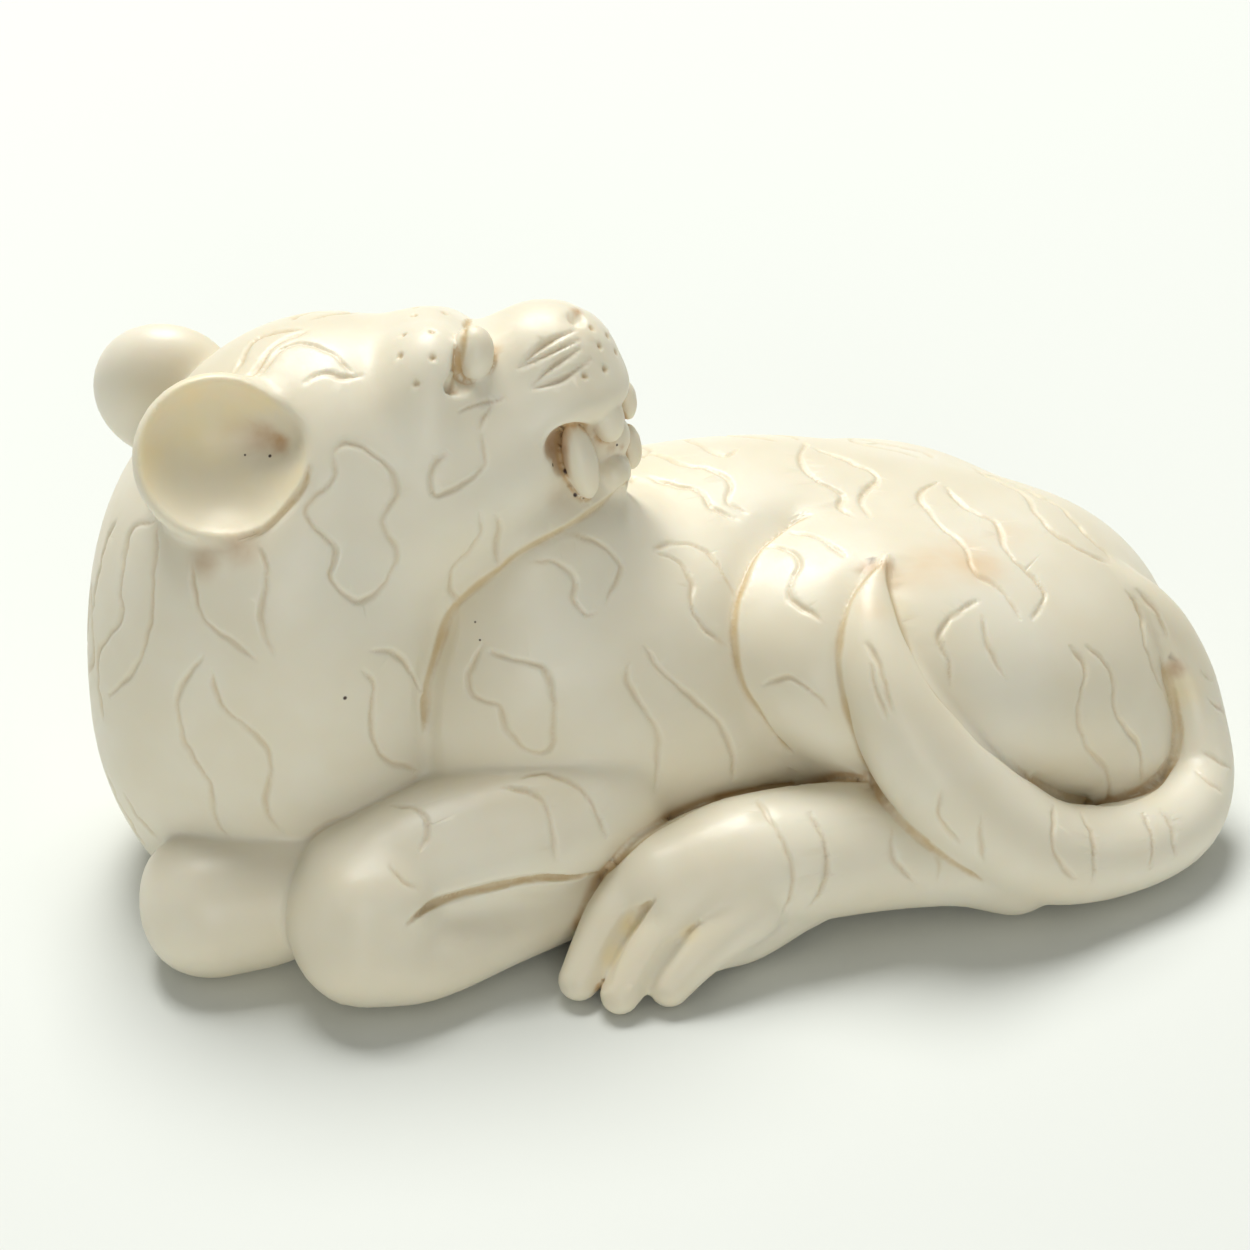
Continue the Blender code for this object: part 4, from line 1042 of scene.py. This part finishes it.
def ivoryMaterial():
    material = bpy.data.materials.new("oldIvory")
    material.use_nodes = True
    nodes = material.node_tree.nodes
    links = material.node_tree.links
    shader = nodes["Principled BSDF"]
    place = nodes.new("ShaderNodeTexCoord")

    def attribute(name):
        node = nodes.new("ShaderNodeAttribute")
        node.attribute_name = name
        return node.outputs["Fac"]

    def mixed(factor, a, b):
        node = nodes.new("ShaderNodeMix")
        node.data_type = 'RGBA'
        links.new(factor, node.inputs["Factor"])
        for value, key in ((a, 6), (b, 7)):
            if isinstance(value, tuple):
                node.inputs[key].default_value = value
            else:
                links.new(value, node.inputs[key])
        return node.outputs[2]

    def ramp(value, low, high, bottom=0.0, top=1.0):
        node = nodes.new("ShaderNodeMapRange")
        node.interpolation_type = 'SMOOTHSTEP'
        node.inputs["From Min"].default_value = low
        node.inputs["From Max"].default_value = high
        node.inputs["To Min"].default_value = bottom
        node.inputs["To Max"].default_value = top
        links.new(value, node.inputs["Value"])
        return node.outputs["Result"]

    def noise(scale, detail=3.0, roughness=0.55, stretch=(1, 1, 1)):
        mapping = nodes.new("ShaderNodeMapping")
        mapping.inputs["Scale"].default_value = stretch
        links.new(place.outputs["Object"], mapping.inputs["Vector"])
        node = nodes.new("ShaderNodeTexNoise")
        node.inputs["Scale"].default_value = scale
        node.inputs["Detail"].default_value = detail
        node.inputs["Roughness"].default_value = roughness
        links.new(mapping.outputs["Vector"], node.inputs["Vector"])
        return node.outputs["Fac"]

    def times(a, b):
        node = nodes.new("ShaderNodeMath")
        node.operation = 'MULTIPLY'
        node.use_clamp = True
        links.new(a, node.inputs[0])
        links.new(b, node.inputs[1])
        return node.outputs["Value"]

    def speckMark(spot, radius):
        node = nodes.new("ShaderNodeVectorMath")
        node.operation = 'DISTANCE'
        links.new(place.outputs["Object"], node.inputs[0])
        node.inputs[1].default_value = spot
        return ramp(node.outputs["Value"], radius * 0.5, radius * 1.2, 1.0, 0.0)

    patchy = ramp(noise(ivoryFinish["patches"], 4), 0.32, 0.68, 0.55, 1.0)
    streaky = ramp(noise(ivoryFinish["streaks"], 3, 0.6, (0.25, 1, 1)), 0.3, 0.7, 0.4, 1.0)
    cloudy = ramp(noise(ivoryFinish["clouds"], 3), 0.35, 0.7)
    colour = mixed(cloudy, ivoryFinish["cream"], ivoryFinish["pale"])
    # The yellow is stain with painted glow and shade in the ears and between the toes; the rust is stain with
    # painted shade under the ear and in the face's hollows
    for kind, most, spread in (("peach", 0.8, streaky), ("yellow", 0.7, patchy), ("rustAndShade", 0.9, patchy)):
        colour = mixed(times(ramp(attribute(kind), 0.0, 0.9, 0, most), spread), colour, ivoryFinish[kind])
    for kind, least, most in (("lineMark", 0.05, 0.8), ("prickMark", 0.1, 0.75)):
        stained = times(ramp(attribute(kind), least, 0.9, 0, most), patchy)
        colour = mixed(stained, colour, ivoryFinish["lineStain"])
    # Painted shade with brown stain: honey deep in the creases
    colour = mixed(ramp(attribute("crease"), 0.4, 0.95, 0, 0.75), colour, ivoryFinish["honey"])
    # Painted shade with dirt: near black deep in the mouth's corners, and dark spots at the tail
    colour = mixed(ramp(attribute("sootAndShade"), 0.1, 1.0, 0, 0.8), colour, ivoryFinish["sootAndShade"])
    for spot, (pixel, radius) in zip(speckSpots, specks):
        colour = mixed(speckMark(tuple(spot), radius / 1000), colour, ivoryFinish["speck"])
    links.new(colour, shader.inputs["Base Color"])
    sheen = ramp(noise(ivoryFinish["sheen"], 4), 0.3, 0.7, *ivoryFinish["roughness"])
    links.new(sheen, shader.inputs["Roughness"])
    shader.inputs["Subsurface Weight"].default_value = ivoryFinish["soak"]
    shader.inputs["Subsurface Radius"].default_value = ivoryFinish["soakRadius"]
    shader.inputs["Subsurface Scale"].default_value = ivoryFinish["soakScale"]
    shader.inputs["IOR"].default_value = ivoryFinish["lightBend"]
    bump = nodes.new("ShaderNodeBump")
    bump.inputs["Strength"].default_value = ivoryFinish["grainStrength"]
    bump.inputs["Distance"].default_value = ivoryFinish["grainHeight"]
    links.new(noise(ivoryFinish["grain"], 3, 0.6, (0.35, 1, 1)), bump.inputs["Height"])
    links.new(bump.outputs["Normal"], shader.inputs["Normal"])
    return material


tigerMesh.materials.append(ivoryMaterial())
say("ivory finished")

# Floor, light and camera
studio = dict(
    floorSize=3.0, floorColour=(0.77, 0.79, 0.765, 1), floorRoughness=0.7,
    worldColour=(0.975, 1.0, 0.955, 1), worldStrength=0.26, aim=(0, 0, 0.01),
    key=dict(at=(0.0, 0.26, 0.53), size=0.34, power=3.6, colour=(1.0, 1.0, 0.96)),
    fill=dict(at=(-0.10, -0.60, 0.17), size=0.3, power=0.75, colour=(1.0, 1.0, 0.95)),
)


def makeFloor():
    half = studio["floorSize"] / 2
    corners = np.array([(-half, -half, 0), (half, -half, 0), (half, half, 0), (-half, half, 0)])
    floor = bpy.data.objects.new("floor", meshOf("floor", corners, np.array([[0, 1, 2, 3]])))
    material = bpy.data.materials.new("paleFloor")
    material.use_nodes = True
    shader = material.node_tree.nodes["Principled BSDF"]
    shader.inputs["Base Color"].default_value = studio["floorColour"]
    shader.inputs["Roughness"].default_value = studio["floorRoughness"]
    floor.data.materials.append(material)
    bpy.context.scene.collection.objects.link(floor)


def makeLight(name, form):
    lamp = bpy.data.lights.new(name, 'AREA')
    lamp.shape = 'DISK'
    lamp.size = form["size"]
    lamp.energy = form["power"]
    lamp.color = form["colour"]
    thing = bpy.data.objects.new(name, lamp)
    thing.location = form["at"]
    ahead = Vector(studio["aim"]) - Vector(form["at"])
    thing.rotation_euler = ahead.to_track_quat('-Z', 'Y').to_euler()
    bpy.context.scene.collection.objects.link(thing)


def makeCamera():
    lens = bpy.data.cameras.new("camera")
    lens.sensor_width = viewForm["sensor"]
    lens.lens = viewForm["focal"] / viewForm["frame"] * viewForm["sensor"]
    lens.clip_start = 0.01
    lens.clip_end = 10
    camera = bpy.data.objects.new("camera", lens)
    turn = Matrix([viewRight, -viewDown, -viewAhead]).transposed()
    place = Matrix.Translation(Vector((viewEye - shift) / 1000))
    camera.matrix_world = place @ turn.to_4x4()
    bpy.context.scene.collection.objects.link(camera)
    bpy.context.scene.camera = camera


makeFloor()
makeLight("key", studio["key"])
makeLight("fill", studio["fill"])
makeCamera()
world = bpy.data.worlds.new("paleRoom")
world.use_nodes = True
world.node_tree.nodes["Background"].inputs["Color"].default_value = studio["worldColour"]
world.node_tree.nodes["Background"].inputs["Strength"].default_value = studio["worldStrength"]
bpy.context.scene.world = world
bpy.context.scene.view_settings.view_transform = 'Standard'
say("floor, light and camera set")

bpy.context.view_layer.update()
say("sizes written")
